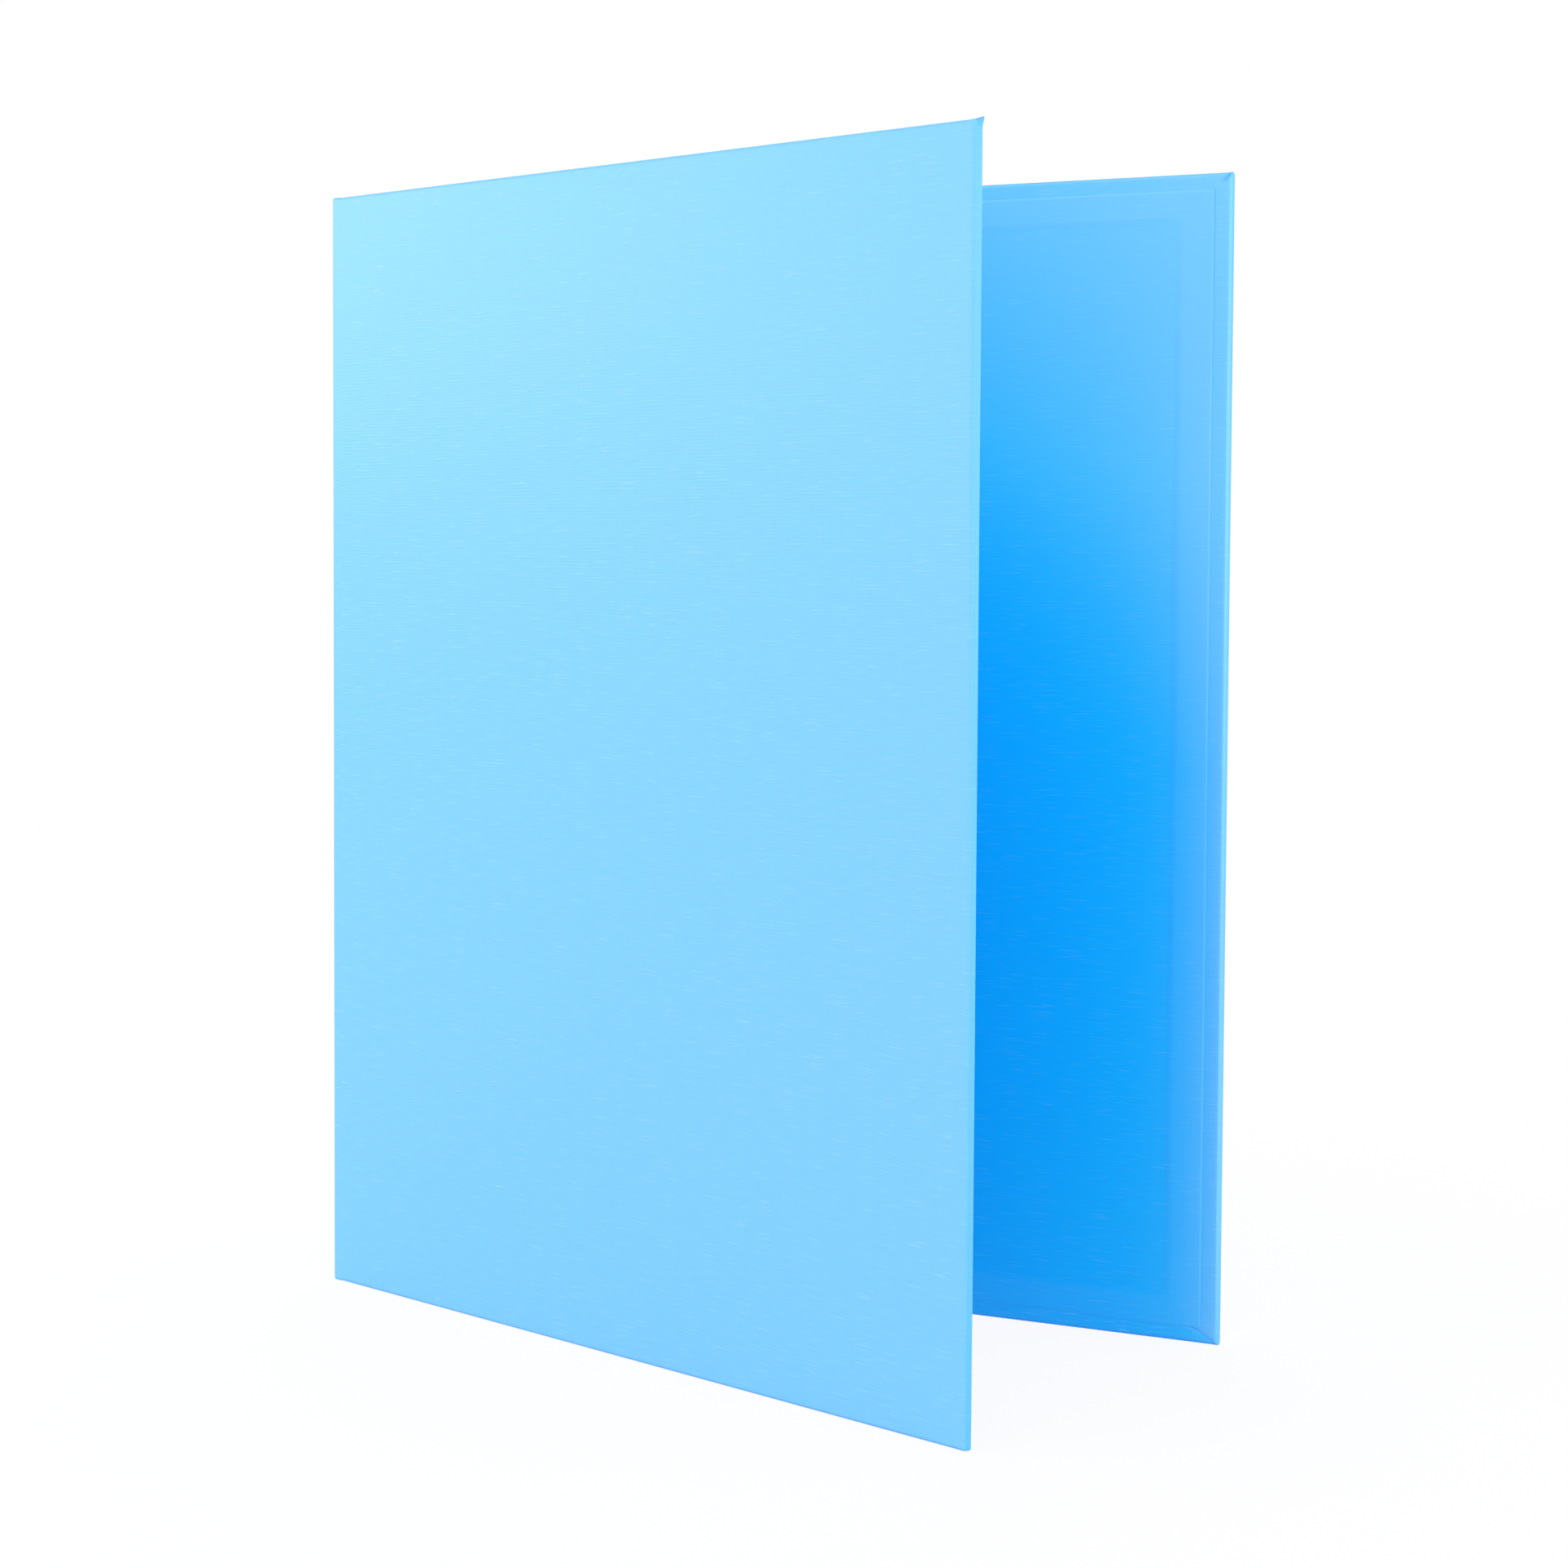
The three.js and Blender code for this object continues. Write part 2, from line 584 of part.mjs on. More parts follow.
// The tips lock: a taper pin on the front half enters a socket in the back half.
function tipCone(baseRadius, length, root) {
  const tipRadius = baseRadius - TIP_PIN_TAPER;
  const profile = [
    [0, -root],
    [baseRadius, -root],
    [baseRadius, 0],
    [tipRadius, length],
    [0, length],
  ];
  const height = RING_CENTRE_HEIGHT + RING_RADIUS - PIVOT_HEIGHT;
  return turned(profile).rotateZ(quarterTurn).translate(height, 0, 0);
}

function halfRing(side) {
  const wire = new THREE.Shape().absarc(0, 0, RING_WIRE / 2, 0, 2 * Math.PI);
  const tube = new THREE.ExtrudeGeometry(wire, {
    extrudePath: ringPath(side),
    steps: WIRE_STEPS,
    curveSegments: WIRE_SIDES / 2,
    bevelEnabled: false,
  });
  const ring = toSolid(tube).add(toSolid(ringTenon(side)));
  const tipPlane = side * (TIP_GAP - PIVOT_SPREAD);
  if (side < 0) {
    const pin = tipCone(TIP_PIN_RADIUS, TIP_PIN_LENGTH, RING_WIRE);
    return toGeometry(ring.add(toSolid(pin.translate(0, tipPlane, 0))));
  }
  const socketRadius = TIP_PIN_RADIUS + TIP_SOCKET_GAP;
  const socket = tipCone(socketRadius, TIP_PIN_LENGTH + TIP_SOCKET_GAP, RING_WIRE);
  return toGeometry(cut(ring, socket.translate(0, -PIVOT_SPREAD - TIP_GAP, 0)));
}

function ringCarrier(name, side) {
  const carrier = new THREE.Group();
  carrier.position.set(PIVOT_HEIGHT, side * PIVOT_SPREAD, 0);
  const blade = piece(`${name}_ring_blade`, ringBlade(side), springSteel);
  blade.rotation.z = -side * degrees(BLADE_TILT);
  carrier.add(blade);
  ringHeights().forEach((height, i) => {
    const place = ['upper', 'lower'][i];
    const ring = piece(`${place}_${name}_half_ring`, halfRing(side), nickelPlate);
    ring.position.z = height;
    carrier.add(ring);
  });
  return carrier;
}

// A tubular rivet: flared in the shell's well, shouldered to hold the shell off the board,
// and set over a domed washer on the spine's outer face.
function rivet() {
  const outerFace = -SPINE_LINING_TOP;
  const washerTop = outerFace - SEAT_GAP - WASHER_CROWN;
  const headBack = washerTop - SEAT_GAP;
  const floorTop = WELL_FLOOR_HEIGHT + SHELL_SHEET;
  const flareTop = floorTop + SEAT_GAP + RIVET_HEAD_HEIGHT;
  const rounded = RIVET_HEAD_HEIGHT / 2;
  return turned([
    [0, headBack - RIVET_HEAD_HEIGHT],
    [RIVET_HEAD_RADIUS - 2 * rounded, headBack - RIVET_HEAD_HEIGHT],
    [RIVET_HEAD_RADIUS - rounded / 2, headBack - rounded],
    [RIVET_HEAD_RADIUS, headBack],
    [RIVET_SHANK_RADIUS, headBack],
    [RIVET_SHANK_RADIUS, SEAT_GAP],
    [RIVET_SHOULDER_RADIUS, SEAT_GAP],
    [RIVET_SHOULDER_RADIUS, WELL_FLOOR_HEIGHT - SEAT_GAP],
    [RIVET_SHANK_RADIUS, WELL_FLOOR_HEIGHT - SEAT_GAP],
    [RIVET_SHANK_RADIUS, floorTop + SEAT_GAP],
    [WELL_FLOOR_RADIUS - SHELL_SHEET - SEAT_GAP, floorTop + SEAT_GAP],
    [RIVET_SHANK_RADIUS + SEAT_GAP, flareTop],
    [RIVET_BORE_RADIUS, flareTop - rounded],
    [RIVET_BORE_RADIUS, flareTop - RIVET_BORE_DEPTH],
    [0, flareTop - RIVET_BORE_DEPTH],
  ]);
}

function rivetWasher() {
  const face = -SPINE_LINING_TOP - SEAT_GAP;
  const hole = RIVET_SHANK_RADIUS + RIVET_HOLE_GAP;
  const dome = [
    [hole, face],
    [hole, face - WASHER_CROWN],
    [RIVET_HEAD_RADIUS, face - WASHER_CROWN],
    [WASHER_RADIUS - WASHER_RIM, face - (WASHER_CROWN + WASHER_RIM) / 2],
    [WASHER_RADIUS, face - WASHER_RIM / 2],
    [WASHER_RADIUS, face],
  ];
  return turned(dome, true);
}

function ringMechanism() {
  const mechanism = new THREE.Group();
  mechanism.position.set(SPINE_OUTER_X + SPINE_LINING_TOP, 0, BINDER_HEIGHT / 2);
  mechanism.add(piece('ring_shell', ringShell(), nickelPlate));
  mechanism.add(ringCarrier('front', -1), ringCarrier('back', 1));
  rivetHeights().forEach((height, i) => {
    const place = ['upper', 'lower'][i];
    const shank = piece(`${place}_rivet`, rivet(), nickelPlate);
    const washer = piece(`${place}_rivet_washer`, rivetWasher(), nickelPlate);
    shank.position.z = height;
    washer.position.z = height;
    mechanism.add(shank, washer);
  });
  return mechanism;
}

// The whole binder

const coverPanel = { from: JOINT_HALF, to: COVER_WIDTH, foreEdge: true };
const spinePanel = { from: JOINT_HALF, to: SPINE_WIDTH - JOINT_HALF, foreEdge: false };

const spine = panelGroup('spine', spinePanel);
spine.rotation.z = quarterTurn;
spine.position.set(SPINE_OUTER_X, -HINGE_Y, 0);

const backCover = panelGroup('back_cover', coverPanel);
backCover.position.set(SPINE_OUTER_X, HINGE_Y, 0);

// The front cover is the same panel turned over, then swung open on its hinge.
const frontCoverPanel = panelGroup('front_cover', coverPanel);
frontCoverPanel.rotation.x = Math.PI;
frontCoverPanel.position.z = BINDER_HEIGHT;
const frontCover = new THREE.Group();
frontCover.position.set(SPINE_OUTER_X, -HINGE_Y, 0);
frontCover.rotation.z = -degrees(FRONT_OPENING);
frontCover.add(frontCoverPanel);

const binder = new THREE.Group();
binder.add(
  spine,
  frontCover,
  backCover,
  hingeGroup('front', -1, FRONT_OPENING),
  hingeGroup('back', 1, 0),
  ringMechanism()
);

export default binder;
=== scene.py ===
import json
import math

import bmesh
import bpy
from mathutils import Matrix, Vector, noise
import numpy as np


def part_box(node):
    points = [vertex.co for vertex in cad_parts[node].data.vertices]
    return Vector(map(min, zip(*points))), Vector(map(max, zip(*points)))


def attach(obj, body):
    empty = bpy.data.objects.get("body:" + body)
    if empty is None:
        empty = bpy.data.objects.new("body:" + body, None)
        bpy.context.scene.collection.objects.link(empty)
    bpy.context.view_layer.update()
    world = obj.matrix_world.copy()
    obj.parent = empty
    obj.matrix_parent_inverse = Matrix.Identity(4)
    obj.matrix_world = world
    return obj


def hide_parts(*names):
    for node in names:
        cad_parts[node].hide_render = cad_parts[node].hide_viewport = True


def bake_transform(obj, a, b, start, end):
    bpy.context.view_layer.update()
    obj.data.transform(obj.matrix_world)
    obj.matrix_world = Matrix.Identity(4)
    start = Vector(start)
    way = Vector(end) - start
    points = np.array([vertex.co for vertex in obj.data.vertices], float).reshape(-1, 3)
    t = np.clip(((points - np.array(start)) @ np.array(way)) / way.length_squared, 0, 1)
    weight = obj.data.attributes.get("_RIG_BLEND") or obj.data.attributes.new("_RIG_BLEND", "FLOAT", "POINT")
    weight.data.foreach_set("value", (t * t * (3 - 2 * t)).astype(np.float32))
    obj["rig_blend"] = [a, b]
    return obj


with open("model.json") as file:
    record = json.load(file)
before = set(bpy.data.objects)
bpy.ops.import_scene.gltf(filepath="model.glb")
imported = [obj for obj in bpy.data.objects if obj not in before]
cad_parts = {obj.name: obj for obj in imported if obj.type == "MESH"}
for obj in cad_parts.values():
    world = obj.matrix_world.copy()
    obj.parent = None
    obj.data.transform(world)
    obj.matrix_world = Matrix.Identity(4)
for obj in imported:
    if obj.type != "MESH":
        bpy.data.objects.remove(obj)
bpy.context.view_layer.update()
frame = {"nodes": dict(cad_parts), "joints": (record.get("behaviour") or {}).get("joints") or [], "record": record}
joints = {joint["name"]: joint for joint in frame["joints"]}
mm = 0.001  # lengths below are in millimetres, and the scene is in metres

# The case's sizes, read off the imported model
backLow, backHigh = (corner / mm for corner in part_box("back_cover_cloth"))
backAxis = Vector(joints["back_cover_hinge"]["pos_m"]) / mm
frontAxis = Vector(joints["front_cover_hinge"]["pos_m"]) / mm
case = {
    "height": backHigh.z,
    "coverWidth": backHigh.x - backAxis.x,  # hinge axis to fore edge
    "spineWidth": backAxis.y - frontAxis.y,
    "thickness": backHigh.y - backLow.y,
    "jointHalf": backLow.x - backAxis.x,  # hinge axis to the edge of a board
    "opening": math.radians(-joints["front_cover_hinge"]["range_deg"][0]),  # past square
}


# Where a panel stands. In its own frame x runs from the hinge axis to the fore edge, y goes
# inwards from the outer face and z is up.
def panelPlace(origin, angle, flip):
    along = Vector((math.cos(angle), math.sin(angle), 0))
    inward = Vector((-math.sin(angle), math.cos(angle), 0)) * flip
    place = Matrix((along, inward, Vector((0, 0, 1)))).transposed().to_4x4()
    place.translation = Vector((origin.x, origin.y, 0))
    return place


panels = {
    "front_cover": {
        "place": panelPlace(frontAxis, -case["opening"], 1),
        "start": case["jointHalf"], "end": case["coverWidth"], "foreEdge": True,
        "nibs": {"tail": 0.15, "head": 1.2},  # cloth pinched out at the corners
        "seed": 3,
    },
    "back_cover": {
        "place": panelPlace(backAxis, 0, -1),
        "start": case["jointHalf"], "end": case["coverWidth"], "foreEdge": True,
        "nibs": {"tail": 0.3, "head": 0.3},
        "seed": 11,
    },
    "spine": {
        "place": panelPlace(frontAxis, math.pi / 2, -1),
        "start": case["jointHalf"], "end": case["spineWidth"] - case["jointHalf"],
        "foreEdge": False,
        "nibs": {"tail": 0, "head": 0},
        "seed": 23,
    },
}


# Camera: a perspective fitted to the corners and edges of the photographed binder
cameraFit = {
    "place": (576.5, -832.0, 214.4),
    "yaw": 29.23, "pitch": 3.14, "roll": 0.26,  # degrees left of +Y, down, and anticlockwise
    "focal": 4146,  # pixels of a frame 1920 wide
    "axis": (876, 900),  # the pixel that the lens looks at
    "frameSide": 1920,
}


def makeCamera():
    fit = cameraFit
    yaw, pitch, roll = (math.radians(fit[name]) for name in ("yaw", "pitch", "roll"))
    forward = Vector((
        -math.sin(yaw) * math.cos(pitch),
        math.cos(yaw) * math.cos(pitch),
        -math.sin(pitch),
    ))
    level = Vector((math.cos(yaw), math.sin(yaw), 0))
    upright = level.cross(forward)
    right = math.cos(roll) * level + math.sin(roll) * upright
    up = -math.sin(roll) * level + math.cos(roll) * upright
    data = bpy.data.cameras.new("camera")
    data.lens = fit["focal"] / fit["frameSide"] * data.sensor_width
    data.shift_x = 0.5 - fit["axis"][0] / fit["frameSide"]
    data.shift_y = fit["axis"][1] / fit["frameSide"] - 0.5
    camera = bpy.data.objects.new("camera", data)
    turn = Matrix((right, up, -forward)).transposed().to_4x4()
    camera.matrix_world = Matrix.Translation(Vector(fit["place"]) * mm) @ turn
    bpy.context.scene.collection.objects.link(camera)
    bpy.context.scene.camera = camera


makeCamera()
print("camera set")


# Materials
def linear(hexCode):
    shares = [int(hexCode[i:i + 2], 16) / 255 for i in (1, 3, 5)]
    return [s / 12.92 if s <= 0.04045 else ((s + 0.055) / 1.055) ** 2.4 for s in shares] + [1]


def addNode(tree, kind, settings, inputs):
    node = tree.nodes.new(kind)
    for name, value in settings.items():
        setattr(node, name, value)
    for name, value in inputs.items():
        if isinstance(value, bpy.types.NodeSocket):
            tree.links.new(value, node.inputs[name])
        else:
            node.inputs[name].default_value = value
    return node


def newMaterial(name):
    material = bpy.data.materials.new(name)
    material.use_nodes = True
    tree = material.node_tree
    return material, tree, tree.nodes["Principled BSDF"]


# Linen bookcloth: woven cotton under an acrylic starch, dyed sky blue. The starch gives it a
# satin sheen. Short thick places in the weft are raised, and a paler colour is painted on them
# as a painted highlight. Inside the case a deeper blue is painted as painted shade, and the
# outer face keeps the cloth's own colour.
bookclothLook = {
    # The first colour is painted shade inside the case, and the second is the cloth's colour where no shade is
    # painted. The third is a painted highlight on the slubs.
    "insideShadeColour": "#08C0FF", "unshadedColour": "#7CCEFE", "slubHighlightColour": "#B4E6FF",
    "paintedShadeColour": "#B0DEFF",  # painted shade on the folded edges and in the mitre creases
    "thread": 0.9,  # thread spacing; 0.5 on the real cloth, too fine to show here
    "threadHeight": 0.02,
    "slubLength": 9, "slubWidth": 0.45, "slubHeight": 0.02, "slubHighlightShare": 0.35,
    "slubRange": (0.57, 0.77),  # a slub begins where the noise passes the first value
    "roughness": 0.42, "ior": 1.5,
}

# The lining: the same weave embossed and dyed on thin paper, so flatter than the cloth, and
# duller because it isn't starched
liningLook = {
    # Its first colour is painted shade deep in the case, and its second is the colour where no shade is painted.
    # Its third is a painted highlight on the slubs, and its fourth is painted shade along its fore edge.
    "insideShadeColour": "#00BFFF", "unshadedColour": "#7CCEFE", "slubHighlightColour": "#B4E6FF",
    "paintedShadeColour": "#A8D4F4",
    "thread": 0.9,
    "threadHeight": 0.012,
    "slubLength": 9, "slubWidth": 0.45, "slubHeight": 0.015, "slubHighlightShare": 0.15,
    "slubRange": (0.57, 0.77),
    "roughness": 0.5, "ior": 1.4,
}


def wovenMaterial(name, look):
    material, tree, shader = newMaterial(name)
    cloth = addNode(tree, "ShaderNodeUVMap", {"uv_map": "cloth"}, {}).outputs["UV"]
    perBand = 2 * math.pi / 20  # a wave texture of scale 1 repeats after this length
    waves = [
        addNode(tree, "ShaderNodeTexWave", {"bands_direction": way}, {
            "Vector": cloth, "Scale": perBand / look["thread"], "Distortion": 1.2,
            "Detail": 1.0, "Detail Scale": 0.6,
        }).outputs["Fac"]
        for way in ("X", "Y")
    ]
    weave = addNode(tree, "ShaderNodeMath", {"operation": "MULTIPLY"}, {0: waves[0], 1: waves[1]})
    stretched = addNode(tree, "ShaderNodeMapping", {}, {
        "Vector": cloth, "Scale": (1 / look["slubLength"], 1 / look["slubWidth"], 1),
    })
    streaks = addNode(tree, "ShaderNodeTexNoise", {}, {
        "Vector": stretched.outputs["Vector"], "Scale": 1.0, "Detail": 2.0, "Roughness": 0.6,
    })
    slubStart, slubPeak = look["slubRange"]
    slubs = addNode(tree, "ShaderNodeMapRange", {}, {
        "Value": streaks.outputs["Fac"], "From Min": slubStart, "From Max": slubPeak,
    })
    # a paler colour painted on the slubs, as a painted highlight
    slubHighlight = addNode(tree, "ShaderNodeMath", {"operation": "MULTIPLY"}, {
        0: slubs.outputs["Result"], 1: look["slubHighlightShare"],
    })
    # painted light and shade: each point's share mixes the deeper painted-shade blue with the cloth's own colour
    paintedLighting = addNode(tree, "ShaderNodeAttribute", {"attribute_name": "painted_light"}, {})
    shadedCloth = addNode(tree, "ShaderNodeMix", {"data_type": "RGBA"}, {
        0: paintedLighting.outputs["Fac"], 6: linear(look["insideShadeColour"]), 7: linear(look["unshadedColour"]),
    })
    shadedSlubbedCloth = addNode(tree, "ShaderNodeMix", {"data_type": "RGBA"}, {
        0: slubHighlight.outputs["Value"], 6: shadedCloth.outputs[2], 7: linear(look["slubHighlightColour"]),
    })
    # painted shade multiplied in on the folded edges, the mitre creases and the lining's fore edge
    paintedShading = addNode(tree, "ShaderNodeAttribute", {"attribute_name": "painted_shade"}, {})
    coloured = addNode(tree, "ShaderNodeMix", {"data_type": "RGBA", "blend_type": "MULTIPLY"}, {
        0: paintedShading.outputs["Fac"], 6: shadedSlubbedCloth.outputs[2], 7: linear(look["paintedShadeColour"]),
    })
    threads = addNode(tree, "ShaderNodeBump", {}, {
        "Height": weave.outputs["Value"], "Distance": look["threadHeight"] * mm, "Strength": 1.0,
    })
    relief = addNode(tree, "ShaderNodeBump", {}, {
        "Height": slubs.outputs["Result"], "Distance": look["slubHeight"] * mm, "Strength": 1.0,
        "Normal": threads.outputs["Normal"],
    })
    tree.links.new(coloured.outputs[2], shader.inputs["Base Color"])
    tree.links.new(relief.outputs["Normal"], shader.inputs["Normal"])
    shader.inputs["Roughness"].default_value = look["roughness"]
    shader.inputs["IOR"].default_value = look["ior"]
    return material


# Solid greyboard: pulped waste paper pressed into board, raw, so dull and flecked with fibre.
greyboardLook = {
    "colour": "#A39A8C", "fleckColour": "#7F776B",
    "fleck": 0.8, "fibreHeight": 0.05, "roughness": 0.95,
}


def greyboardMaterial():
    look = greyboardLook
    material, tree, shader = newMaterial("pressed greyboard")
    place = addNode(tree, "ShaderNodeTexCoord", {}, {})
    flecks = addNode(tree, "ShaderNodeTexNoise", {}, {
        "Vector": place.outputs["Object"], "Scale": 1 / (look["fleck"] * mm), "Detail": 4.0,
    })
    colours = addNode(tree, "ShaderNodeMix", {"data_type": "RGBA"}, {
        0: flecks.outputs["Fac"], 6: linear(look["colour"]), 7: linear(look["fleckColour"]),
    })
    fibres = addNode(tree, "ShaderNodeBump", {}, {
        "Height": flecks.outputs["Fac"], "Distance": look["fibreHeight"] * mm,
    })
    tree.links.new(colours.outputs[2], shader.inputs["Base Color"])
    tree.links.new(fibres.outputs["Normal"], shader.inputs["Normal"])
    shader.inputs["Roughness"].default_value = look["roughness"]
    return material


# Bright nickel on drawn steel: mirror-like, faintly warm, with the ripple of the drawn wire
# and sheet under it. Rolled spring steel: greyer, with fine lines along the strip.
nickelLook = {
    "name": "bright nickel plate on steel", "colour": "#D6D3CB", "roughness": 0.16,
    "grain": (1.5, 1.5, 6.0), "unevenness": 0.06, "grainHeight": 0.004,
}
springLook = {
    "name": "rolled spring steel", "colour": "#A9ACAF", "roughness": 0.34,
    "grain": (0.12, 0.12, 8.0), "unevenness": 0.12, "grainHeight": 0.003,
}


def metalMaterial(look):
    material, tree, shader = newMaterial(look["name"])
    place = addNode(tree, "ShaderNodeTexCoord", {}, {})
    grainScale = tuple(1 / (length * mm) for length in look["grain"])
    grainPlace = addNode(tree, "ShaderNodeMapping", {}, {
        "Vector": place.outputs["Object"], "Scale": grainScale,
    })
    grain = addNode(tree, "ShaderNodeTexNoise", {}, {
        "Vector": grainPlace.outputs["Vector"], "Scale": 1.0, "Detail": 3.0,
    })
    polish = addNode(tree, "ShaderNodeMapRange", {}, {
        "Value": grain.outputs["Fac"],
        "To Min": look["roughness"] - look["unevenness"] / 2,
        "To Max": look["roughness"] + look["unevenness"] / 2,
    })
    lines = addNode(tree, "ShaderNodeBump", {}, {
        "Height": grain.outputs["Fac"], "Distance": look["grainHeight"] * mm,
    })
    tree.links.new(polish.outputs["Result"], shader.inputs["Roughness"])
    tree.links.new(lines.outputs["Normal"], shader.inputs["Normal"])
    shader.inputs["Base Color"].default_value = linear(look["colour"])
    shader.inputs["Metallic"].default_value = 1.0
    return material


bookcloth = wovenMaterial("linen bookcloth, starched", bookclothLook)
lining = wovenMaterial("linen-embossed lining paper", liningLook)
greyboard = greyboardMaterial()
nickel = metalMaterial(nickelLook)
springSteel = metalMaterial(springLook)
print("materials made")


# Painted light and shade inside the case: paler where light falls in, most along the fore edges and towards the
# head, and a deeper blue as painted shade further in
lightPainting = {
    "reach": 7,  # how far in from a fore edge, at the tail
    "widensFrom": 155, "widensOver": 46,  # it reaches further in above this height
}


def paintedLightAt(panel, u, z):
    rise = max(z - lightPainting["widensFrom"], 0) / lightPainting["widensOver"]
    fromForeEdge = case["coverWidth"] - u if panel["foreEdge"] else case["coverWidth"]
    return math.exp(-max(fromForeEdge, 0) / (lightPainting["reach"] * math.exp(rise)))


# Sheets. Each is a near and a far layer of quads with a rim between them, so every mesh is
# closed. A grid item is a point in millimetres, its place on the flat cloth, its share of
# painted light and its share of painted shade.
def addPatch(shape, known, rows):
    flat = shape.loops.layers.uv["cloth"]
    painted_light, painted_shade = (shape.verts.layers.float[name] for name in ("painted_light", "painted_shade"))
    grid = []
    for row in rows:
        line = []
        for point, uv, litShare, shadeShare in row:
            key = tuple(round(value, 3) for value in point)  # within a micron they are one
            if key not in known:
                known[key] = shape.verts.new(point)
                known[key][painted_light] = litShare
                known[key][painted_shade] = shadeShare
            line.append((known[key], uv))
        grid.append(line)
    for row, following in zip(grid, grid[1:]):
        for i in range(len(row) - 1):
            corners = dict((row[i], following[i], following[i + 1], row[i + 1]))
            if len(corners) < 3 or shape.faces.get(list(corners)):
                continue
            face = shape.faces.new(list(corners))
            face.smooth = True
            for loop in face.loops:
                loop[flat].uv = corners[loop.vert]
    return [vert for row in grid for vert, uv in row]


def closeRims(shape, nearVerts, farVerts):
    # a narrow face from each open edge of the near layer to the far layer
    flat = shape.loops.layers.uv["cloth"]
    across = dict(zip(nearVerts, farVerts))
    rims = [edge for edge in shape.edges
            if edge.is_boundary and edge.verts[0] in across and edge.verts[1] in across]
    for edge in rims:
        a, b = edge.verts
        edge.smooth = False  # a cut edge is crisp
        farEdge = shape.edges.get((across[a], across[b]))
        if farEdge:
            farEdge.smooth = False
        places = {loop.vert: loop[flat].uv.copy() for loop in edge.link_faces[0].loops}
        corners = list(dict.fromkeys((a, b, across[b], across[a])))
        if len(corners) < 3:
            continue
        rim = shape.faces.new(corners)
        for loop in rim.loops:
            owner = loop.vert if loop.vert in places else (a if loop.vert is across[a] else b)
            loop[flat].uv = places[owner]


def newSheet():
    shape = bmesh.new()
    shape.loops.layers.uv.new("cloth")
    shape.verts.layers.float.new("painted_light")
    shape.verts.layers.float.new("painted_shade")
    return shape


def finishPiece(name, shape, place, material):
    bmesh.ops.transform(shape, matrix=Matrix.Scale(mm, 4) @ place, verts=shape.verts)
    bmesh.ops.recalc_face_normals(shape, faces=shape.faces)
    mesh = bpy.data.meshes.new(name)
    shape.to_mesh(mesh)
    shape.free()
    mesh.materials.append(material)
    piece = bpy.data.objects.new(name, mesh)
    bpy.context.scene.collection.objects.link(piece)
    return piece


def spread(low, high, step, close=(0.4, 1.2)):
    # evenly spaced lines, with more close to each end
    count = max(2, round((high - low) / step))
    middle = [low + (high - low) * i / count for i in range(1, count)]
    starts = [low] + [low + gap for gap in close]
    ends = [high - gap for gap in reversed(close)] + [high]
    return starts + middle + ends


def wobble(along, seed, size, length):
    # a slow hand-made unevenness, along a line of the noise that is each seed's own
    return size * noise.noise(Vector((along / length, seed * 7.31, 0.5)))


# Case cloth. On a cover it lies on the outer face, goes round the head, tail and fore edge,
# and ends on the inner face, where its corners are mitred.
cloth = {
    "thickness": 0.4,
    "foreTurnIn": 13.2, "endTurnIn": 10.9,  # cut by hand, so not quite alike
    "edgeRound": 0.9, "cornerRound": 0.6,
    "cornerSteps": 6,
    "edgeDip": 0.08, "edgeDipWidth": 0.3,  # the turn-in's cut edge is pressed down a little
    "rim": 20,  # the flat middle of the outer face starts this far in
    "step": 8,  # grid spacing of the flat middle
    "faceLines": (12, 6, 3, 2, 1.6),  # grid lines from there out to the fold
    "innerLines": (1.6, 2, 3, 4.4, 6, 9),  # and from the fold in over the turn-in
}


def wrapProfile(turnIn, skin):
    # (distance in from the edge, depth below the outer face) from the outer face round to
    # the cut edge of the turn-in, for the surface that lies skin inside the cloth's own
    outerRadius, deep = cloth["edgeRound"], case["thickness"]
    radius = outerRadius - skin
    steps = cloth["cornerSteps"]
    arc = [math.pi / 2 * i / steps for i in range(steps + 1)]
    fold = [(outerRadius - radius * math.sin(a), outerRadius - radius * math.cos(a)) for a in arc]
    face = [(inset, skin) for inset in (cloth["rim"], *cloth["faceLines"])]
    back = [(inset, deep - depth) for inset, depth in reversed(fold)]
    inner = [(inset, deep - skin) for inset in cloth["innerLines"]]
    beforeCut = (turnIn - cloth["edgeDipWidth"], deep - skin)
    cutEdge = (turnIn, deep - max(skin, cloth["edgeDip"]))
    return face + fold + back + inner + [beforeCut, cutEdge]


def wrapLength(turnIn):
    # cloth from the rim, round the edge, to the end of the turn-in
    profile = wrapProfile(turnIn, 0)
    return sum(math.dist(a, b) for a, b in zip(profile, profile[1:]))


# Height of the cloth as it was cut, flat
cutHeight = case["height"] - 2 * cloth["rim"] + 2 * wrapLength(cloth["endTurnIn"])


